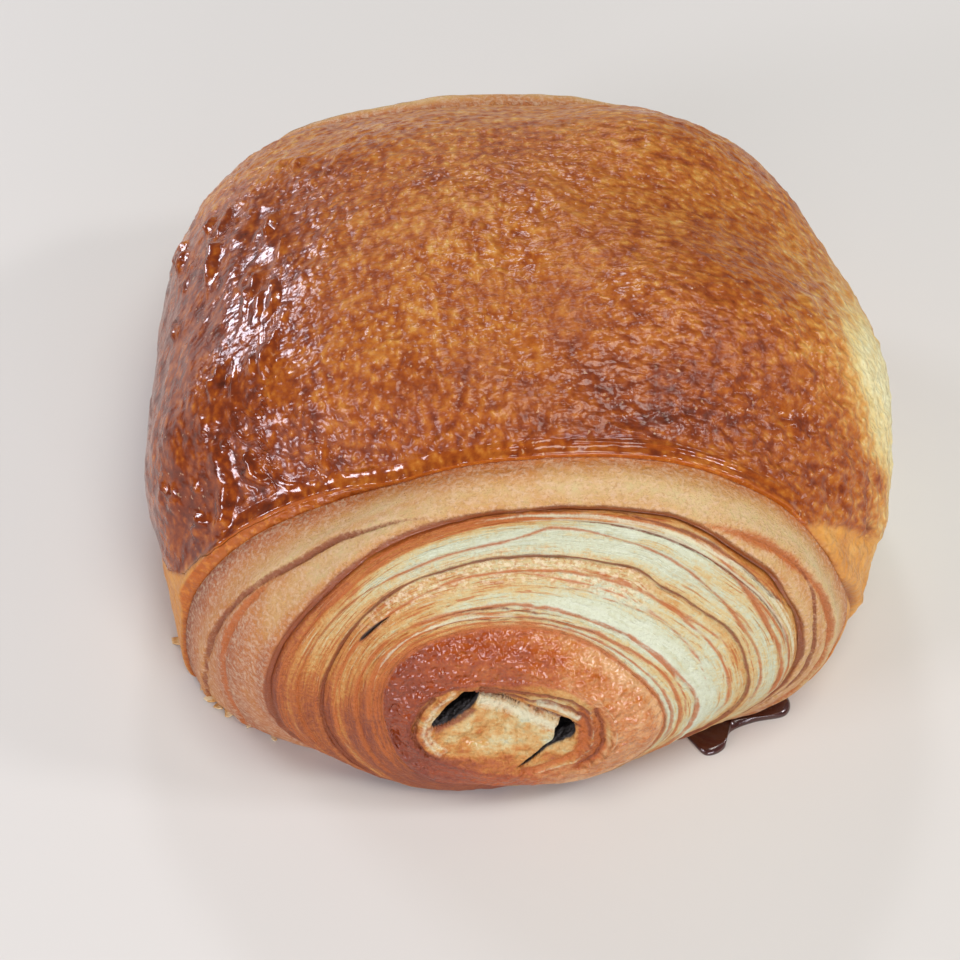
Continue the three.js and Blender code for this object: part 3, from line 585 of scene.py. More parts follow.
def side_of_line(line, x, z):
    """Distance from a line through points of x and z, positive on its left hand side."""
    best = np.full(x.shape, np.inf)
    signed = np.zeros(x.shape)
    for (x0, z0), (x1, z1) in zip(line, line[1:]):
        ax, az = x1 - x0, z1 - z0
        part = np.clip(((x - x0) * ax + (z - z0) * az) / (ax * ax + az * az), 0, 1)
        dx, dz = x - (x0 + part * ax), z - (z0 + part * az)
        distance = np.hypot(dx, dz)
        closer = distance < best
        best = np.where(closer, distance, best)
        signed = np.where(closer, np.sign(ax * (z - z0) - az * (x - x0)), signed)
    return best * np.where(signed == 0, 1, signed)


# What a stain's distance is where there is none, and what a faint one adds to its distance.
UNSTAINED = 4.0
FAINT = 1.2


# Some of these lines are painted shade: the crack, and the brown under the left slot and under the
# low leaf.
def add_stain(stains_and_shade, name, distance, thick, strength):
    """Notes how far every point is from a stained line, in parts of the line's thickness."""
    far = np.abs(distance) / thick + FAINT * (1 - np.clip(strength, 0, 1))
    far = far + UNSTAINED * (strength < 0.02)
    stains_and_shade[name] = np.minimum(stains_and_shade[name], far)


def add_leaf(skin, stains_and_shade, edge, path_turn):
    """Raises the edge of one leaf of dough, and stains the line under it."""
    degrees = skin.degrees
    rough = line_noise(degrees, 9, 3 + int(edge["wide"] * 100))
    begin, end, fade = edge["begin"], edge["end"], edge["fade"]
    shows = stretch(degrees, begin - fade, begin + fade, end - fade, end + fade)
    waver = 0.012 * line_noise(degrees, 5, 17 + int(edge["wide"] * 100))
    distance = skin.past(path_turn + waver)
    wide = edge["wide"]
    strength = shows * (1 + 0.3 * rough)
    raised = np.where(distance < wide, ease(-0.2, 0.45 * wide, distance),
                      bell(distance - wide, 1.6 * wide))
    sunk = bell(distance + 0.3 * wide, 0.6 * wide) * (1 - ease(-0.2, 0.2, distance))
    skin.height += strength * (edge["lift"] * raised - edge["cut"] * sunk)
    leaning = ease(-0.3, 0.15, distance) * bell(distance, 1.4 * wide)
    skin.draw += strength * edge["lean"] * leaning
    if edge["stain"]:
        fine = line_noise(degrees, 3, 29 + int(edge["thick"] * 100))
        thick = np.maximum(0.12, edge["thick"] * (1 + 0.35 * rough + 0.25 * fine))
        strength = shows * edge["strength"] * np.clip(1 + 0.35 * rough + 0.25 * fine, 0, 1)
        add_stain(stains_and_shade, edge["stain"], distance + edge["low"], thick, strength)


def thin_leaves():
    """Many thin leaves between the named ones."""
    draw = np.random.default_rng(THIN_LEAF_SEED)
    leaves = []
    for index in range(THIN_LEAVES):
        middle = draw.choice([draw.uniform(*bounds) for bounds in THIN_LEAF_BANDS])
        begin = draw.uniform(-20, 150)
        end = min(205, begin + draw.uniform(35, 110))
        stain = draw.choice(["amber", "amber", "amber", "brown", "pale"])
        wander = draw.uniform(0.02, 0.05)
        path = [(angle, middle + wander * math.sin(angle / draw.uniform(14, 22) + index))
                for angle in range(-40, 231, 15)]
        lift, cut = draw.uniform(0.05, 0.14), draw.uniform(0.03, 0.09)
        wide, strength = draw.uniform(0.2, 0.4), draw.uniform(0.5, 0.95)
        thick = draw.uniform(0.14, 0.24)
        leaves.append(leaf(path, begin, end, 12, lift, cut, 0.03, wide, str(stain), strength,
                           thick))
    return leaves


def doneness(skin):
    """How well done each point of the layers is."""
    waver = bumps(skin.plain, "layer waver")
    turn = skin.turn + 0.035 * waver + 0.012 * bumps(skin.plain, "fine waver")
    degrees = skin.degrees + 7 * bumps(skin.plain, "angle waver")
    levels = [np.interp(turn, *zip(*profile)) for profile in DONE]
    done = levels[0]
    for low, high, level in zip(DONE_ANGLES, DONE_ANGLES[1:], levels[1:]):
        part = ease(low, high, degrees)
        done = done + (level - done) * part
    # The palest parts are darker where they go under the roll at the right.
    done = done + 0.3 * ease(2, -24, degrees) * (done < 0.5)
    leftward = -np.cos(np.radians(skin.degrees))
    # The roll is darker at its left and paler at its right; the paler right is in part a painted
    # sheen.
    roll = 0.72 + 0.2 * ease(0.3, 1, leftward) - 0.26 * ease(-0.1, -0.8, leftward)
    roll = roll + 0.08 * ease(2.4, 2.95, turn) * ease(0, 0.8, leftward)
    roll = roll - 0.16 * ease(2.3, 2.9, turn) * ease(0.3, -0.3, leftward)
    # Painted shade: the outer layers are darker at the left, the side in shade.
    done = done + 0.12 * ease(5.0, 5.1, turn) * ease(0.3, 0.95, leftward)
    return np.where(turn < 3.0, roll, done)


def shape_pit(skin, stains_and_shade, done, gloss):
    """The pit in the front end: a rolled rim, a tongue of dough between the two openings, the
    leaves above it and the arcs to its right."""
    plain, turn = skin.plain, skin.turn
    near = ~skin.is_back & (turn < PIT_END)
    x = plain[..., 0] + 0.18 * bumps(plain, "pit lines x")
    level = plain[..., 2] + 0.18 * bumps(plain, "pit lines z")
    swell = TONGUE_SWELL

    def pit(z):
        """Depth of the pit, how much each point belongs to it and to the leaves above the
        tongue, and the distances from the lines of its roof and of the tongue's edge."""
        roof, rim = side_of_line(ROOF_LINE, x, z), side_of_line(RIM_OUTSIDE, x, z)
        foot, edge = side_of_line(TONGUE_FOOT, x, z), side_of_line(TONGUE_EDGE, x, z)
        inside = ease(0.3, -0.3, roof) * ease(-0.3, 0.3, rim) * near
        inside = inside * ease(-1.6, 0.6, np.where(x < 0, foot, 1)) * ease(6.6, 9, z)
        wedge = inside * ease(7.4, 5.6, x) * ease(-0.1, 0.35, edge)
        depth = PIT_DEPTH * inside + WEDGE_DEPTH * wedge
        for line in (LOW_LEAF_LINE, HIGH_LINE):
            depth -= WEDGE_STEP * wedge * ease(-0.1, 0.25, side_of_line(line, x, z))
        u, v = turned(x - swell["x"], z - swell["z"], -math.radians(swell["turn"]))
        swollen = ease(1.35, 0.2, np.hypot(u / swell["half_long"], v / swell["half_high"]))
        depth -= swell["out"] * near * ease(0.15, -0.3, edge) * swollen
        depth -= RIM_BULGE * near * bell(side_of_line(RIM_MIDDLE, x, z), 0.9) * inside
        return depth, inside, wedge, roof, edge

    depth = pit(level)[0]
    z = level + SEEN_RISE * depth
    depth, inside, wedge, roof, edge = pit(z)
    z = level + SEEN_RISE * depth
    depth += 0.14 * near * bumps(plain, "pit bumps") * ease(1.5, 1.1, turn)

    for name, line, strength, thick, cut in PIT_LINES:
        distance = side_of_line(line, x, z)
        add_stain(stains_and_shade, name, distance, thick, strength * near)
        depth += cut * near * bell(distance, thick)
    ledge = near * bell(edge + 0.75, 0.7) * stretch(x, -5.4, -4.4, 4.2, 5.0)
    add_stain(stains_and_shade, "pale", 0, 1, ledge * (0.75 + 0.25 * bumps(plain, "pit ledge")))

    golden = bumps(plain, "pit browning")
    dough = 0.42 + 0.34 * golden + 0.3 * ease(12.4, 10.2, z) + 0.14 * ease(-5, -9, x)
    dough = dough + 0.1 * wedge
    right = near * ease(0.2, 1.2, -roof) * ease(5.8, 6.8, x)
    tongue = near * ease(9.6, 11.2, z) * ease(0.3, -0.2, roof)
    in_pit = np.maximum(inside, near * ease(1.05, 0.9, turn))
    done = done + (dough - done) * in_pit * tongue
    done = done + (0.76 - done) * right
    wet = near * bell(x + 5.2, 2.6) * bell(z - 12.6, 0.9)
    gloss = gloss * (1 - 0.8 * inside) + wet
    skin.points[..., 1] += depth
    return done, gloss


def new_object(name, points, faces):
    """An object at the origin, from points in millimetres in the frame of the loops."""
    mesh = bpy.data.meshes.new(name)
    placed = (np.asarray(points, float) + TO_FRAME) * MM
    mesh.from_pydata([tuple(p) for p in placed.tolist()], [], faces)
    mesh.update()
    piece = bpy.data.objects.new(name, mesh)
    bpy.context.scene.collection.objects.link(piece)
    return piece


def row_faces(rows, columns, first=0, ring=False):
    """Faces between closed rows of points, and from the last row to the first one in a ring."""
    faces = []
    for r in range(rows if ring else rows - 1):
        low = first + r * columns
        high = first + ((r + 1) % rows) * columns
        for c in range(columns):
            d = (c + 1) % columns
            faces.append((low + c, high + c, high + d, low + d))
    return faces


def loft_faces(rows, columns):
    """Faces over closed rows of points, with one point before the first and one after the last."""
    last = rows * columns + 1
    faces = row_faces(rows, columns, first=1)
    for c in range(columns):
        d = (c + 1) % columns
        faces.append((0, 1 + c, 1 + d))
        faces.append((last, last - columns + d, last - columns + c))
    return faces


def turn_outwards(piece):
    """Turns the faces of a closed mesh outwards, if its volume says that they point inwards."""
    work = bmesh.new()
    work.from_mesh(piece.data)
    if work.calc_volume(signed=True) < 0:
        bmesh.ops.reverse_faces(work, faces=work.faces[:])
    work.to_mesh(piece.data)
    work.free()


def smooth_shade(piece):
    piece.data.polygons.foreach_set("use_smooth", [True] * len(piece.data.polygons))


def mark(piece, marks):
    """Gives the points of a piece their numbers, by the number's name."""
    for name, values in marks.items():
        if name in piece.data.attributes:
            piece.data.attributes.remove(piece.data.attributes[name])
        numbers = piece.data.attributes.new(name, "FLOAT", "POINT")
        numbers.data.foreach_set("value", np.asarray(values, np.float32))


def closed_loft(name, loops):
    loops = np.asarray(loops)
    points = np.concatenate([loops[0].mean(0)[None], loops.reshape(-1, 3), loops[-1].mean(0)[None]])
    piece = new_object(name, points, loft_faces(len(loops), loops.shape[1]))
    turn_outwards(piece)
    return piece


def box_loop(place, y, long, wide, corner, steps):
    """A loop round a baton or its tunnel: a box with round corners, turned about the roll."""
    angle = np.arange(steps) / steps * 2 * math.pi
    c, s = np.cos(angle), np.sin(angle)
    scale = (np.abs(c) ** corner + np.abs(s) ** corner) ** (-1 / corner)
    u, v = scale * c * long / 2, scale * s * wide / 2
    u, v = turned(u, v, math.radians(place["turn"]))
    return np.stack([place["x"] + u, np.full(steps, float(y)), place["z"] + v], -1)


def mouth_loop(outline, y, steps):
    outline = np.array(outline, float)
    turn = np.arange(steps) / steps
    x, z = round_the_loop(outline[:, 0], turn), round_the_loop(outline[:, 1], turn)
    return np.stack([x, np.full(steps, float(y)), z], -1)


def tunnel(place, mouth, steps=60):
    """What is cut out of the dough for a baton: its mouth, its length and a smaller back end."""
    gap = BATON["clearance"]
    front, back = BATON["front"] - gap, BATON["back"] + gap
    long, short = BATON["long"] + 2 * gap, BATON["short"] + 2 * gap

    middle, back_end = (long, short, BATON["corner"]), tuple(BACK_MOUTH.values())
    loops = [mouth_loop(mouth, y, steps) for y in (front - TUNNEL_PAST, front + MOUTH_DEPTH)]
    loops += [box_loop(place, y, *form, steps)
              for y, form in ((front + 2 * MOUTH_DEPTH, middle), (back, middle),
                              (back + MOUTH_DEPTH / 2, back_end), (back + TUNNEL_PAST, back_end))]
    return closed_loft("tunnel", loops)


def baton(name, place, steps=48):
    """A baton of chocolate that has softened in the oven. Its front end has sunk a little."""
    bevel = BATON["bevel"]
    front, back = BATON["front"] + MOUTH_DEPTH + place["sunk"], BATON["back"]
    ys = np.concatenate([[front, front + 0.15, front + bevel], np.linspace(front + 2, back - 2, 46),
                         [back - bevel, back - 0.15, back]])
    loops = []
    for y in ys:
        end = min(1.0, min(y - front, back - y) / bevel)
        shrink = 2 * bevel * (1 - math.sqrt(max(0.0, 1 - (1 - end) ** 2)))
        loop = box_loop(place, y, BATON["long"] - shrink, BATON["short"] - shrink,
                        BATON["corner"], steps)
        middle = loop.mean(0)
        dents = 1 - 0.035 * (1 + bumps(loop, "baton dents"))[:, None]
        loops.append(middle + (loop - middle) * dents)
    piece = closed_loft(name, loops)
    smooth_shade(piece)
    return piece


def cut_out(piece, cutter):
    """Cuts one closed mesh out of another, and removes the cutter."""
    cut = piece.modifiers.new("opening", "BOOLEAN")
    cut.operation = "DIFFERENCE"
    cut.solver = "MANIFOLD"
    cut.object = cutter
    bpy.context.view_layer.update()
    evaluated = piece.evaluated_get(bpy.context.evaluated_depsgraph_get())
    mesh = bpy.data.meshes.new_from_object(evaluated)
    mesh.materials.clear()
    piece.modifiers.remove(cut)
    piece.data = mesh
    bpy.data.objects.remove(cutter)


def rolled_dough():
    """The layered turns of the roll. They show at both ends, and run on under the outer sheet."""
    sunk = np.array(HIDDEN_DEPTHS)
    front = np.append(spread(*DOUGH_ROWS), HIDDEN_ROWS)
    skin = Skin(front, spread(*DOUGH_BACK_ROWS), columns_round(*DOUGH_COLUMNS))
    plain, turn, degrees = skin.plain, skin.turn, skin.degrees
    shape = turn.shape
    stains_and_shade = {name: np.full(shape, UNSTAINED) for name in ("amber", "brown", "pale", "dark")}
    for edge in LEAVES + thin_leaves():
        path_place = path_at(edge["path"], degrees)
        add_leaf(skin, stains_and_shade, edge, turn_of_place(path_place, degrees))

    in_layers = stretch(turn, 3.0, 3.1, 5.9, 5.97)
    for bulge, from_turn in BAND_BULGES:
        part = np.clip((turn - from_turn) / BAND_WIDTH, 0, 1)
        skin.height += bulge * np.sin(math.pi * part) * skin.shows
    skin.height += in_layers * 0.12 * bumps(plain, "layer bumps")
    gritty = in_layers * ease(5.0, 4.9, turn)
    skin.height += gritty * 0.06 * bumps(plain, "layer grit")
    crumbly = stretch(turn, 3.6, 3.72, 3.94, 4.02) * stretch(degrees, 40, 60, 128, 146)
    crumbly = np.maximum(crumbly, 0.6 * spot(turn, degrees, UPPER_CRUMBS))
    skin.height += crumbly * 0.16 * bumps(plain, "crumbs")
    skin.height += bell(turn - 2, 0.9) * 0.34 * bumps(plain, "roll pebbles")
    skin.settle()

    done = doneness(skin)
    gloss = stretch(turn, 1.15, 1.35, 2.9, 3.02)
    gloss = gloss * (0.6 + 0.4 * ease(-0.3, 0.5, np.sin(np.radians(degrees))))
    gloss = gloss * (0.95 + 0.3 * bumps(plain, "roll gloss"))
    gloss += 0.5 * bell(turn - 3.76, 0.07) * ease(150, 175, degrees)
    gloss += 0.4 * bell(turn - 5.0, 0.06) + 0.25 * bell(stains_and_shade["brown"], 1.6) * in_layers
    done, gloss = shape_pit(skin, stains_and_shade, done, gloss)
    skin.points[..., 1] -= np.where(skin.is_back, PIT_DEPTH * ease(1.05, 0.84, turn), 0)
    skin.rest()
    points = skin.points.copy()
    depth = np.zeros(shape)
    depth[len(front) - len(sunk): len(front)] = sunk[:, None]
    points = np.where(depth[..., None] > 0, skin.shrunk(depth), points)

    piece = closed_loft("rolled_dough", points)
    marks = {"turn": turn, "done": done, "gloss": gloss, "crumbly": crumbly, **stains_and_shade}
    marks = {name: np.concatenate([[values[0].mean()], values.ravel(), [values[-1].mean()]])
             for name, values in marks.items()}

    skin_points = kdtree.KDTree(len(piece.data.vertices))
    for index, vertex in enumerate(piece.data.vertices):
        skin_points.insert(vertex.co, index)
    skin_points.balance()
    cut_out(piece, tunnel(LEFT_BATON, LEFT_MOUTH))
    cut_out(piece, tunnel(RIGHT_BATON, RIGHT_MOUTH))
    # Every point takes its numbers from the nearest point of the skin, and the distance to it.
    found = [skin_points.find(vertex.co)[1:] for vertex in piece.data.vertices]
    nearest, distance = (np.array(values) for values in zip(*found))
    mark(piece, {name: values[nearest] for name, values in marks.items()})
    mark(piece, {"inward": distance / MM})
    smooth_shade(piece)
    return piece


def outer_sheet():
    """The glazed outer sheet, wrapped round the roll from its front lip to its back lip."""
    front = spread(*SHEET_ROWS)
    skin = Skin(front, np.zeros(0), columns_round(*SHEET_COLUMNS))
    plain, turn, degrees = skin.plain, skin.turn, skin.degrees
    past_lip = skin.past(np.full(len(degrees), 6.0))
    to_back = skin.length[-1] - skin.length

    leftish = ease(118, 146, degrees)
    cornered = ease(180, 188, degrees) + ease(30, 22, degrees)
    uneven = 0.3 * line_noise(degrees, 9, 401) + 0.3 * line_noise(degrees, 3, 403)

    def lip(distance, tall, face):
        """Height of the free edge of the sheet: a face that rises from its edge to a ridge."""
        part = np.clip(distance / face, 0, 1)
        hollow = LIP_HOLLOW * leftish
        rise = np.sqrt(np.clip(1 - (1 - part) ** 2, 0, 1)) * (1 - hollow) + hollow * part**2
        fall = LIP_CREST * bell(distance - face, 0.5) + (1 - LIP_CREST) * bell(distance - face, 2.4)
        return np.where(distance < face, (tall + LIP_DROP) * rise - LIP_DROP, tall * fall)

    face = 0.55 + 1.25 * leftish * ease(186, 178, degrees)
    tall = (0.75 - 0.35 * np.clip(cornered, 0, 1)) * (1 + uneven)
    skin.height += skin.shows * (lip(past_lip, tall, face) + lip(to_back, 0.3, 0.9))
    skin.draw += skin.shows * 0.3 * bell(past_lip - face, 0.9)
    skin.draw -= skin.shows * 0.7 * bell(to_back, 1.6)
    second_ridge = stretch(degrees, 26, 38, 96, 104) * (1 - bell(degrees - 84, 4))
    skin.height += 0.22 * second_ridge * (1 + uneven) * bell(past_lip - face - 1.0, 0.24)
    # The sheet is folded in at its right corner.
    place = skin.place
    crease_row = np.interp(path_at(FOLD_CREASE, degrees), [5.6, 6.0, 6.3, 7.0], [0, 0, 20, 42])
    crease = skin.length - skin.length_at(crease_row)
    on_fold = stretch(degrees, -14, -6, 18, 26)
    skin.height -= 0.7 * on_fold * bell(crease, 0.55)
    skin.height += 0.5 * on_fold * bell(crease - 1.6, 1.1)
    pinch = spot(place, degrees, PINCH)
    skin.height -= 1.2 * pinch
    glaze_edge = path_at(GLAZE_EDGE, degrees)
    unglazed = ease(0.05, -0.05, place - glaze_edge + 0.03 * bumps(plain, "glaze edge"))
    skin.height -= 0.45 * unglazed * stretch(degrees, -20, -5, 24, 30)

    inner = stretch(turn, 6.12, 6.4, 11.7, 11.95)
    left = stretch(degrees, 124, 150, 198, 216) * ease(10.8, 9.6, turn)
    waves = bumps(plain, "sheet waves")
    lengthwise = ease(84, 104, degrees)
    ripples = bumps(plain, "cross ripples") * (1 - lengthwise)
    ripples = ripples + bumps(plain, "long ripples") * lengthwise
    pebbles = bumps(plain, "sheet pebbles")
    rippled = ease(110, 80, degrees) * ease(9.6, 8.4, turn)
    pebbled = (0.14 + 0.2 * rippled) * ripples + 0.2 * pebbles
    skin.height += inner * (0.28 * waves + pebbled * (1 - 0.6 * left))
    skin.height -= 0.7 * ease(8.4, 9.6, turn) * stretch(degrees, 52, 80, 130, 160)
    patch = ease(-0.15, 0.25, bumps(plain, "blister patches"))
    streaks = bumps(plain, "blister streaks")
    blisters = ease(0.12, 0.5, streaks) * patch
    veins = ease(0.14, 0.0, np.abs(bumps(plain, "blister veins"))) * patch
    bulging = left * ease(178, 166, degrees)
    skin.height += inner * (0.9 * bulging * blisters + 0.35 * bulging * veins
                            + 0.3 * left * bumps(plain, "left bumps"))
    long_blister = bell(degrees - np.interp(place, *zip(*LONG_BLISTER)), 1.9)
    long_blister = long_blister * stretch(place, 6.05, 6.2, 6.7, 6.95)
    skin.height += LONG_BLISTER_HEIGHT * long_blister
    skin.settle()
    skin.rest()

    done = 0.5 + 0.05 * bumps(plain, "sheet browning")
    for browner, form in BROWNED:
        done += browner * spot(turn, degrees, form)
    # Darker at the left, in part as painted shade on that side.
    done += 0.18 * left * ease(10.4, 9.4, turn)
    done -= 0.03 * ease(7.6, 8.4, turn) * ease(130, 110, degrees)
    done -= 0.08 * ease(9.4, 10.6, turn)
    wander = degrees + 3 * bumps(plain, "pale edge")
    over_edge = wander - np.interp(place, *zip(*PALE_EDGE))
    pale = ease(5, -9, over_edge) * ease(6.3, 6.6, place)
    pale = pale * np.interp(place, *zip(*PALENESS))
    near_pale = bell(over_edge - 4, 9) * ease(6.8, 7.6, place)
    done -= pale + 0.1 * near_pale * ease(10.5, 9, place)
    done -= 0.25 * ease(204, 226, degrees) + 0.2 * ease(-6, -30, degrees)
    # Painted shadow that the fold casts beside the pinch.
    done += 0.35 * spot(place, degrees, PINCH_SHADE)
    glossy = np.maximum(np.maximum(blisters, 0.8 * veins) * inner, long_blister)
    gloss = 0.45 + 0.25 * bumps(plain, "sheet gloss") + left * (0.5 * glossy + 0.3 * inner)
    ridge = bell(past_lip - face - 0.4, 0.9) * skin.shows * ease(24, 40, degrees)
    gloss += 0.9 * ridge * ease(186, 176, degrees)
    gloss = gloss * (1 - unglazed) * (1 - 0.8 * np.clip(pale * 2, 0, 1))
    glaze = ease(0.25, -0.25, past_lip - face + 0.15) * skin.shows
    dark_spots = ease(0.26, 0.55, bumps(plain, "dark spots"))
    dark_spots = dark_spots * ease(156, 168, degrees)
    # Dark in the pinch is painted shade in that dent; the dark spots at the left are burnt.
    dark = 0.9 * pinch + 0.9 * left * dark_spots * (1 - unglazed)
    # Painted shade: brown in the crease of the fold, and along the lip's edge at the left end.
    lip_shade = 0.8 * bell(past_lip, 0.5) * ease(180, 186, degrees)
    crease_shade = np.maximum(on_fold * bell(crease, 0.5), lip_shade)

    # Rows on the inside of the sheet, under these rows of its outside.
    count = len(front)
    under = [count - 1, count - 5, count - 14, 120, 96, 72, 52, 36, 14, 5, 0]
    under_depth = [1.2, 1.8] + [SHEET] * (len(under) - 4) + [1.8, 1.2]
    inside = [skin.shrunk(np.full(turn.shape, depth))[row]
              for row, depth in zip(under, under_depth)]
    points = np.concatenate([skin.points, np.stack(inside)])
    faces = row_faces(len(points), len(degrees), ring=True)
    piece = new_object("outer_sheet", points.reshape(-1, 3), faces)
    turn_outwards(piece)
    marks = {"done": done, "gloss": gloss, "amber": glaze, "dark": dark, "unglazed": unglazed,
             "crease": crease_shade}
    mark(piece, {name: np.concatenate([values, values[under]]).ravel()
                 for name, values in marks.items()})
    smooth_shade(piece)
    return piece


def leaked_pool():
    """Chocolate that has run out from under the roll and set."""
    outline = np.array(POOL_OUTLINE, float)
    turn = np.arange(96) / 96
    edge = np.stack([round_the_loop(outline[:, 0], turn), round_the_loop(outline[:, 1], turn)], -1)
    middle = outline.mean(0)
    arm = edge - middle
    reach = np.linalg.norm(arm, axis=1, keepdims=True)
    loops = []
    for part in np.linspace(0, 1, 9):
        rise = POOL_HEIGHT * math.sin(part * math.pi / 2)
        drawn = POOL_EDGE * (1 - math.cos(part * math.pi / 2))
        flat = middle + arm * (1 - drawn / reach)
        loops.append(np.column_stack([flat, np.full(len(flat), rise)]))
    for part in (0.75, 0.5, 0.25):
        flat = middle + arm * (1 - POOL_EDGE / reach) * part
        dents = bumps(np.column_stack([flat, flat[:, 0]]), "pool dip")
        dip = POOL_HEIGHT - 0.12 * (1 - part) - 0.06 * (1 + dents)
        loops.append(np.column_stack([flat, dip]))
    top = np.append(middle, POOL_HEIGHT - 0.25)
    under = np.append(middle, 0.0)
    points = np.concatenate([under[None], np.concatenate(loops), top[None]])
    piece = new_object("leaked_chocolate_skin", points, loft_faces(len(loops), len(turn)))
    turn_outwards(piece)
    smooth_shade(piece)
    return piece


def loose_flakes():
    """Thin flakes of crust that have come off along the foot of the left side."""
    draw = np.random.default_rng(FLAKE_SEED)
    points, faces = [], []
    for x, y, size in FLAKES:
        sector = 2 * math.pi / FLAKE_CORNERS
        angle = np.sort(draw.uniform(0, sector, FLAKE_CORNERS) + np.arange(FLAKE_CORNERS) * sector)
        reach = size * draw.uniform(0.6, 1.0, FLAKE_CORNERS)
        tilt, turn = draw.uniform(-0.3, 0.3, 2), draw.uniform(0, math.pi)
        lift = draw.uniform(0.3, 0.5) * size
        u, v = reach * np.cos(angle), 0.6 * reach * np.sin(angle)
        edge = np.stack(turned(u, v, turn), -1)
        height = edge @ tilt + 0.12 * (u * u + v * v) / size
        top = np.column_stack([edge + (x, y), np.maximum(height + lift, FLAKE_THICKNESS)])
        under = top - (0, 0, FLAKE_THICKNESS)
        middle = np.array([x, y, lift])
        first = len(points)
        points += [middle, *top, *under, middle - (0, 0, FLAKE_THICKNESS)]
        faces += [tuple(first + corner for corner in face) for face in loft_faces(2, FLAKE_CORNERS)]
    piece = new_object("loose_flakes", np.array(points), faces)
    turn_outwards(piece)
    return piece


class Tone:
    """A number or colour that varies over a surface: the output of a shader node."""

    def __init__(self, finish, socket):
        self.finish = finish
        self.socket = socket

    def __add__(self, other):
        return self.finish.math("ADD", self, other)

    def __radd__(self, other):
        return self.finish.math("ADD", other, self)

    def __sub__(self, other):
        return self.finish.math("SUBTRACT", self, other)

    def __rsub__(self, other):
        return self.finish.math("SUBTRACT", other, self)

    def __mul__(self, other):
        return self.finish.math("MULTIPLY", self, other)

    def __rmul__(self, other):
        return self.finish.math("MULTIPLY", other, self)


class Finish:
    """One procedural material, and the nodes that its looks are made with."""

    def __init__(self, name):
        self.material = bpy.data.materials.new(name)
        self.material.use_nodes = True
        self.tree = self.material.node_tree
        self.tree.nodes.clear()
        self.place = self.node("ShaderNodeTexCoord", {}, {}, "Object")

    def node(self, kind, settings, inputs, output):
        made = self.tree.nodes.new(kind)
        for key, value in settings.items():
            if key == "stops":
                stops = made.color_ramp.elements
                for index, (position, colour) in enumerate(value):
                    stop = stops[index] if index < 2 else stops.new(position)
                    stop.position = position
                    stop.color = (*colour, 1.0)
            else:
                setattr(made, key, value)
        for key, value in inputs.items():
            self.feed(made.inputs[key], value)
        return Tone(self, made.outputs[output])

    def feed(self, socket, value):
        if isinstance(value, Tone):
            self.tree.links.new(value.socket, socket)
        elif socket.type == "RGBA":
            socket.default_value = (*value[:3], 1.0)
        else:
            socket.default_value = value

    def math(self, operation, a, b=0.0):
        return self.node("ShaderNodeMath", {"operation": operation}, {0: a, 1: b}, 0)

    def attribute(self, name):
        return self.node("ShaderNodeAttribute", {"attribute_name": name}, {}, "Fac")

    def step(self, value, low, high):
        """0 below low and 1 above high, or the other way round, with a soft change between."""
        ends = (low, high, 0.0, 1.0) if low < high else (high, low, 1.0, 0.0)
        inputs = dict(zip(("From Min", "From Max", "To Min", "To Max"), ends))
        inputs["Value"] = value
        return self.node("ShaderNodeMapRange", {"interpolation_type": "SMOOTHSTEP"}, inputs, 0)

    def mix(self, factor, a, b):
        return self.node("ShaderNodeMix", {"data_type": "RGBA"}, {0: factor, 6: a, 7: b}, 2)

    def swing(self, tone, size):
        """A noise about 0.5, turned to one about 0 and scaled."""
        return (tone - 0.5) * size

    def paint(self, colour, coats):
        """Lays coats over a colour: each has where it goes, how strong it is and its colour."""
        for where, strength, tint in coats:
            colour = self.mix(where if strength == 1 else where * strength, colour, tint)
        return colour

    def stretched(self, size):
        """Object coordinates in units of that size in millimetres, one for each axis."""
        size = size if isinstance(size, tuple) else (size, size, size)
        inputs = {"Vector": self.place, "Scale": tuple(1 / (s * MM) for s in size)}
        return self.node("ShaderNodeMapping", {}, inputs, 0)

    def noise(self, size, detail=2.0, rough=0.5, vector=None):
        inputs = {"Vector": vector or self.stretched(size), "Scale": 1.0, "Detail": detail,
                  "Roughness": rough}
        return self.node("ShaderNodeTexNoise", {}, inputs, 0)

    def ramp(self, value, stops):
        return self.node("ShaderNodeValToRGB", {"stops": stops}, {0: value}, 0)

    def bump(self, height, distance, strength=1.0):
        inputs = {"Height": height, "Distance": distance * MM, "Strength": strength}
        return self.node("ShaderNodeBump", {}, inputs, 0)

    def surface(self, **inputs):
        shader = self.tree.nodes.new("ShaderNodeBsdfPrincipled")
        for key, value in inputs.items():
            self.feed(shader.inputs[key.replace("_", " ")], value)
        out = self.tree.nodes.new("ShaderNodeOutputMaterial")
        self.tree.links.new(shader.outputs[0], out.inputs["Surface"])
        return self.material


def srgb(red, green, blue):
    """A colour as the eye names it, from 0 to 255, turned to the light that it reflects."""
    def linear(value):
        value = value / 255
        return value / 12.92 if value <= 0.04045 else ((value + 0.055) / 1.055) ** 2.4
    return tuple(linear(v) for v in (red, green, blue))


PALE_CREAM = srgb(204, 210, 184)
CREAM = srgb(194, 198, 166)
STRAW = srgb(200, 180, 126)
HONEY = srgb(196, 152, 86)
CARAMEL = srgb(186, 120, 44)
AMBER = srgb(168, 88, 18)
BROWN = srgb(140, 64, 14)
RUSSET = srgb(122, 52, 22)
# Near black: painted shade for the dough inside the openings.
OPENING_SHADE = srgb(22, 14, 14)
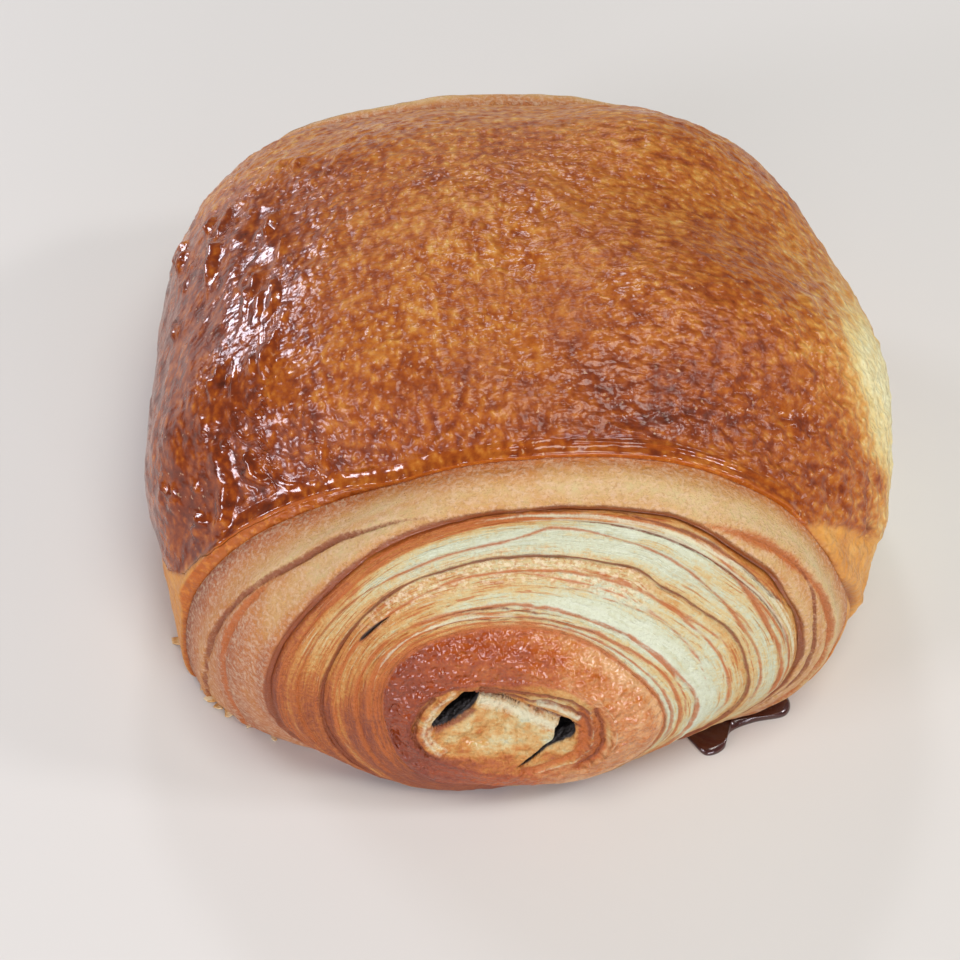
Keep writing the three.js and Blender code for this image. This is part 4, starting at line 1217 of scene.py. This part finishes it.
# Colours of the surfaces by how well done they are, from 0 to 1.
LAYER_COLOURS = [(0.0, PALE_CREAM), (0.14, CREAM), (0.3, STRAW), (0.45, HONEY), (0.6, CARAMEL),
                 (0.74, AMBER), (0.88, BROWN), (1.0, RUSSET)]
ROLL_COLOURS = [(0.3, srgb(206, 156, 104)), (0.48, srgb(188, 116, 56)), (0.62, srgb(170, 84, 22)),
                (0.78, srgb(150, 62, 6)), (0.95, srgb(124, 44, 2))]
CRUST_COLOURS = [(0.0, srgb(226, 222, 176)), (0.14, srgb(220, 198, 132)),
                 (0.28, srgb(204, 150, 74)), (0.4, srgb(188, 120, 46)), (0.52, srgb(170, 94, 26)),
                 (0.64, srgb(148, 70, 14)), (0.78, srgb(118, 46, 8)), (1.0, srgb(76, 28, 12))]
FOLD_COLOURS = [(0.0, srgb(226, 178, 100)), (0.3, srgb(204, 142, 62)), (0.6, srgb(180, 106, 34))]
FLAKE_COLOURS = [(0.4, srgb(224, 206, 164)), (0.55, srgb(208, 162, 96)), (0.7, srgb(170, 106, 48))]
# FLOUR_SHADE is painted shade for the hollows of the floury grain.
FLOUR, FLOUR_SHADE = srgb(218, 190, 156), srgb(180, 120, 66)
CRUMB, CRUMB_SHADE = srgb(238, 228, 196), srgb(176, 108, 50)
# CREASE_BROWN is painted shade for the crease and the left end of the lip.
LEAF_LINE, CREASE_BROWN = srgb(172, 88, 22), srgb(140, 70, 22)
AMBER_STAIN, BROWN_STAIN = srgb(178, 90, 14), srgb(128, 56, 8)
# The dark one is painted shade inside the crack.
PALE_STAIN, CRACK_SHADE = srgb(214, 210, 176), srgb(44, 24, 16)
GLAZE, GLAZE_SPECK = srgb(170, 84, 12), srgb(212, 134, 44)
# Dark for burnt spots and for painted shade in the pinch; pale for painted sparkle highlights.
BURNT_AND_PINCH_SHADE, SPARKLE = srgb(84, 34, 30), srgb(238, 200, 160)
# The blue-grey one is a painted reflection, laid in blotches on the batons.
CHOCOLATE, BLUE_GLINT = srgb(26, 18, 18), srgb(66, 74, 90)
MELTED, MELTED_BLOOM = srgb(62, 20, 14), srgb(84, 34, 24)


def layers_finish():
    f = Finish("layered_dough")
    turn = f.attribute("turn")
    done = f.attribute("done")
    amber, brown, pale, dark = (f.attribute(name) for name in ("amber", "brown", "pale", "dark"))
    gloss = f.attribute("gloss")
    inward = f.attribute("inward")

    # Fine leaves: noise drawn out along the turns, which circle the middle of the roll.
    arm = f.node("ShaderNodeVectorMath", {"operation": "MULTIPLY_ADD"},
                 {0: f.place, 1: (1.0, 0.0, 1.0), 2: (0.001, 0.0, -0.014)}, 0)
    arm = f.node("ShaderNodeVectorMath", {"operation": "NORMALIZE"}, {0: arm}, 0)
    around = f.node("ShaderNodeSeparateXYZ", {}, {0: arm}, "X")
    upward = f.node("ShaderNodeSeparateXYZ", {}, {0: arm}, "Z")

    def drawn_out(along, across):
        inputs = {"X": around * along, "Y": turn * across, "Z": upward * along}
        return f.node("ShaderNodeCombineXYZ", {}, inputs, 0)

    leaves = f.noise(1, 3.0, 0.6, vector=drawn_out(4, 15))
    thin_leaves = f.noise(1, 2.0, 0.5, vector=drawn_out(5, 38))
    grain = f.noise(0.42, 2.0, 0.7)
    flecks = f.noise((0.9, 0.6, 0.5), 2.0, 0.6)
    patches = f.noise(3.2, 3.0, 0.6)
    layered = f.step(turn, 5.04, 4.98) * f.step(turn, 2.98, 3.04)
    floury = f.step(turn, 5.0, 5.06)
    on_roll = f.step(turn, 3.02, 2.98)
    crumbly = f.attribute("crumbly")

    level = done + f.swing(leaves, 0.42) * layered + f.swing(thin_leaves, 0.25) * layered
    level = level + f.swing(patches, 0.28) + f.swing(grain, 0.3) + f.swing(flecks, 0.25)
    # The floury band has pale fuzz on it. Thin lines of browned leaves stay out of the palest
    # dough, and pale ones out of the darkest.
    fuzz = f.step(grain * 0.5 + flecks * 0.5, 0.4, 0.66)
    lines = f.step(thin_leaves, 0.56, 0.62) * f.step(leaves + patches * 0.5, 0.68, 0.82)
    pale_lines = f.step(thin_leaves, 0.42, 0.36) * f.step(patches, 0.48, 0.6)
    skin = f.paint(f.ramp(level, LAYER_COLOURS), [
        (floury * fuzz, 0.6, FLOUR),
        # Painted shade in the low grain.
        (floury * f.step(grain, 0.48, 0.3), 0.45, FLOUR_SHADE),
        (lines * layered * f.step(done, 0.1, 0.3), 0.75, LEAF_LINE),
        (pale_lines * layered * f.step(done, 0.8, 0.55), 0.5, CREAM),
        (crumbly * f.step(flecks, 0.46, 0.62), 0.5, CRUMB),
        (crumbly * f.step(grain, 0.48, 0.66), 0.5, CRUMB_SHADE),
    ])
    glazed = f.ramp(level + f.swing(f.noise(1.3, 4.0, 0.65), 0.5), ROLL_COLOURS)
    ragged = f.swing(grain, 1.1)
    # The last coat is painted shade: near black on the dough inside the openings.
    skin = f.paint(skin, [
        (on_roll * f.step(turn, 1.05, 1.2), 1.0, glazed),
        (f.step(amber + ragged, 1.5, 0.35), 0.85, AMBER_STAIN),
        (f.step(brown + ragged, 1.5, 0.35), 0.88, BROWN_STAIN),
        (f.step(pale + ragged, 1.5, 0.35), 0.85, PALE_STAIN),
        # Painted shade inside the crack.
        (f.step(dark, 1.5, 0.5), 1.0, CRACK_SHADE),
        (f.step(inward, 0.2, 0.6), 1.0, OPENING_SHADE),
    ])

    wet = f.step(gloss, 0.15, 0.95)
    rough = 0.6 - wet * 0.42 + f.swing(grain, 0.1)
    height = grain * (0.8 + floury * 0.3) + flecks * 0.5
    height = height + (leaves * 0.9 + thin_leaves * 0.6) * layered
    height = height * (1 - wet * 0.9) - f.step(brown, 1.2, 0.2) * 0.4
    height = height + f.noise((0.9, 0.9, 1.1), 1.0) * on_roll * 2.6
    return f.surface(Base_Color=skin, Roughness=rough, Specular_IOR_Level=0.7,
                     Normal=f.bump(height, 0.3))


def crust_finish():
    f = Finish("glazed_crust")
    done = f.attribute("done")
    gloss = f.attribute("gloss")
    amber = f.attribute("amber")
    dark = f.attribute("dark")
    unglazed = f.attribute("unglazed")
    crease = f.attribute("crease")
    # Golden grains in a red-brown network: cells, pushed about by noise. They lie along the roll at
    # its left and across it at its right. The network is the low ground of the bump, so its darker
    # colour is partly painted shade in the hollows.
    push = f.node("ShaderNodeTexNoise", {},
                  {"Vector": f.stretched(1.8), "Scale": 1.0, "Detail": 2.0}, "Color")

    def grains(size):
        pushed = f.node("ShaderNodeVectorMath", {"operation": "MULTIPLY_ADD"},
                        {0: push, 1: (1.5, 1.5, 1.5), 2: f.stretched(size)}, 0)
        inputs = {"Vector": pushed, "Scale": 1.0}
        return f.node("ShaderNodeTexVoronoi", {"feature": "SMOOTH_F1"}, inputs, "Distance")

    across = f.node("ShaderNodeSeparateXYZ", {}, {0: f.place}, "X")
    rightward = f.step(across, -0.006, 0.016)
    left_grains, right_grains = grains((0.85, 1.35, 1.0)), grains((1.4, 0.85, 1.0))
    cells = left_grains + (right_grains - left_grains) * rightward
    spots = f.noise((1.0, 1.0, 1.0), 4.0, 0.7)
    patches = f.noise((4.6, 3.4, 3.8), 3.0, 0.6)
    fine = f.noise(0.35, 2.0, 0.6)
    mottle = (cells - 0.42) * 0.48 + f.swing(spots, 0.45) + f.swing(patches, 0.45)
    mottle = mottle + f.swing(fine, 0.1)
    level = done + 0.05 + mottle * (0.35 + 0.65 * f.step(done, 0.12, 0.4))
    folded = f.ramp(done * 0.6 + f.swing(patches, 0.7) + f.swing(fine, 0.15), FOLD_COLOURS)
    # Sparkle: tiny dots painted pale as highlights, which are made glossier too.
    sparkle = f.step(f.noise(0.6, 1.0), 0.68, 0.73) * f.step(patches, 0.5, 0.6) * (1 - unglazed)
    crust = f.paint(f.ramp(level, CRUST_COLOURS), [
        (unglazed, 1.0, folded),
        (f.step(amber, 0.15, 0.85), 0.9, GLAZE),
        (f.step(amber, 0.3, 0.9) * f.step(spots, 0.5, 0.62), 0.5, GLAZE_SPECK),
        # Painted shade in the crease of the fold and at the left end of the lip.
        (crease, 0.85, CREASE_BROWN),
        # Burnt spots, and painted shade in the pinch.
        (dark * f.step(spots, 0.3, 0.65), 0.8, BURNT_AND_PINCH_SHADE),
        (sparkle, 0.35, SPARKLE),
    ])
    wet = f.step(gloss, 0.15, 0.95)
    rough = 0.46 - wet * 0.32 - sparkle * 0.2 * (1 - wet)
    height = (1 - cells) * 0.8 + f.noise((1.2, 0.9, 1.0), 1.0) * 1.5
    height = height * (1 - f.step(wet, 0.3, 0.9) * 0.8) * 0.75
    return f.surface(Base_Color=crust, Roughness=rough, Specular_IOR_Level=0.5,
                     Normal=f.bump(height, 0.42))


def chocolate_finish(name, tint, blotch_colour, rough, coat):
    f = Finish(name)
    # Blotches of the second colour: on the batons a painted blue-grey reflection, on the leaked
    # chocolate a lighter red-brown.
    blotches = f.noise(1.8, 3.0)
    colour = f.mix(f.step(blotches, 0.5, 0.75) * 0.4, tint, blotch_colour)
    normal = f.bump(f.noise(0.7, 3.0), 0.12, 0.6)
    return f.surface(Base_Color=colour, Roughness=rough + f.swing(blotches, 0.2), Coat_Weight=coat,
                     Coat_Roughness=0.12, Normal=normal)


def flakes_finish():
    f = Finish("flaked_crust")
    colour = f.ramp(f.noise(1.2, 3.0), FLAKE_COLOURS)
    return f.surface(Base_Color=colour, Roughness=0.55, Normal=f.bump(f.noise(0.4), 0.1))


def floor_finish():
    f = Finish("pale_floor")
    return f.surface(Base_Color=FLOOR_COLOUR, Roughness=0.8)


def put_together():
    dark = chocolate_finish("dark_chocolate", CHOCOLATE, BLUE_GLINT, 0.3, 0.5)
    leaked = chocolate_finish("set_leaked_chocolate", MELTED, MELTED_BLOOM, 0.22, 0.8)
    # Every piece, its finish, the node that it stands for and its slot.
    pieces = [
        (rolled_dough(), layers_finish(), "pastry", "pastry"),
        (outer_sheet(), crust_finish(), "pastry", "pastry"),
        (baton("baton_left", LEFT_BATON), dark, "chocolate_baton_left", "chocolate"),
        (baton("baton_right", RIGHT_BATON), dark, "chocolate_baton_right", "chocolate"),
        (leaked_pool(), leaked, "leaked_chocolate", "leaked_chocolate"),
        (loose_flakes(), flakes_finish(), "pastry", "pastry"),
    ]
    for piece, finish, node, slot in pieces:
        piece.data.materials.append(finish)
        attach(piece, "root")
        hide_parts(node)


def area_light(name, place, aim, size, power, colour):
    light = bpy.data.lights.new(name, "AREA")
    light.shape = "RECTANGLE"
    light.size, light.size_y = size
    light.energy = power
    light.color = colour
    lamp = bpy.data.objects.new(name, light)
    lamp.location = place
    lamp.rotation_euler = (Vector(aim) - Vector(place)).to_track_quat("-Z", "Y").to_euler()
    bpy.context.scene.collection.objects.link(lamp)


def studio():
    mesh = bpy.data.meshes.new("floor")
    corners = [(x * FLOOR_HALF, y * FLOOR_HALF, 0) for x, y in ((-1, -1), (1, -1), (1, 1), (-1, 1))]
    mesh.from_pydata(corners, [], [(0, 1, 2, 3)])
    floor = bpy.data.objects.new("floor", mesh)
    bpy.context.scene.collection.objects.link(floor)
    floor.data.materials.append(floor_finish())

    world = bpy.data.worlds.new("soft_sky")
    bpy.context.scene.world = world
    world.use_nodes = True
    sky = world.node_tree.nodes["Background"]
    sky.inputs["Color"].default_value = SKY
    sky.inputs["Strength"].default_value = SKY_STRENGTH
    for name, lamp in LAMPS.items():
        area_light(name, *lamp)
    bpy.context.scene.view_settings.view_transform = "Standard"


def camera():
    data = bpy.data.cameras.new("camera")
    data.sensor_width = SENSOR
    data.lens = LENS
    data.clip_start = NEAREST_SEEN
    eye = bpy.data.objects.new("camera", data)
    eye.location = (np.array(EYE) + TO_FRAME) * MM
    eye.rotation_euler = (math.radians(90 - LOOKS_DOWN), 0, 0)
    bpy.context.scene.collection.objects.link(eye)
    bpy.context.scene.camera = eye


put_together()
studio()
camera()
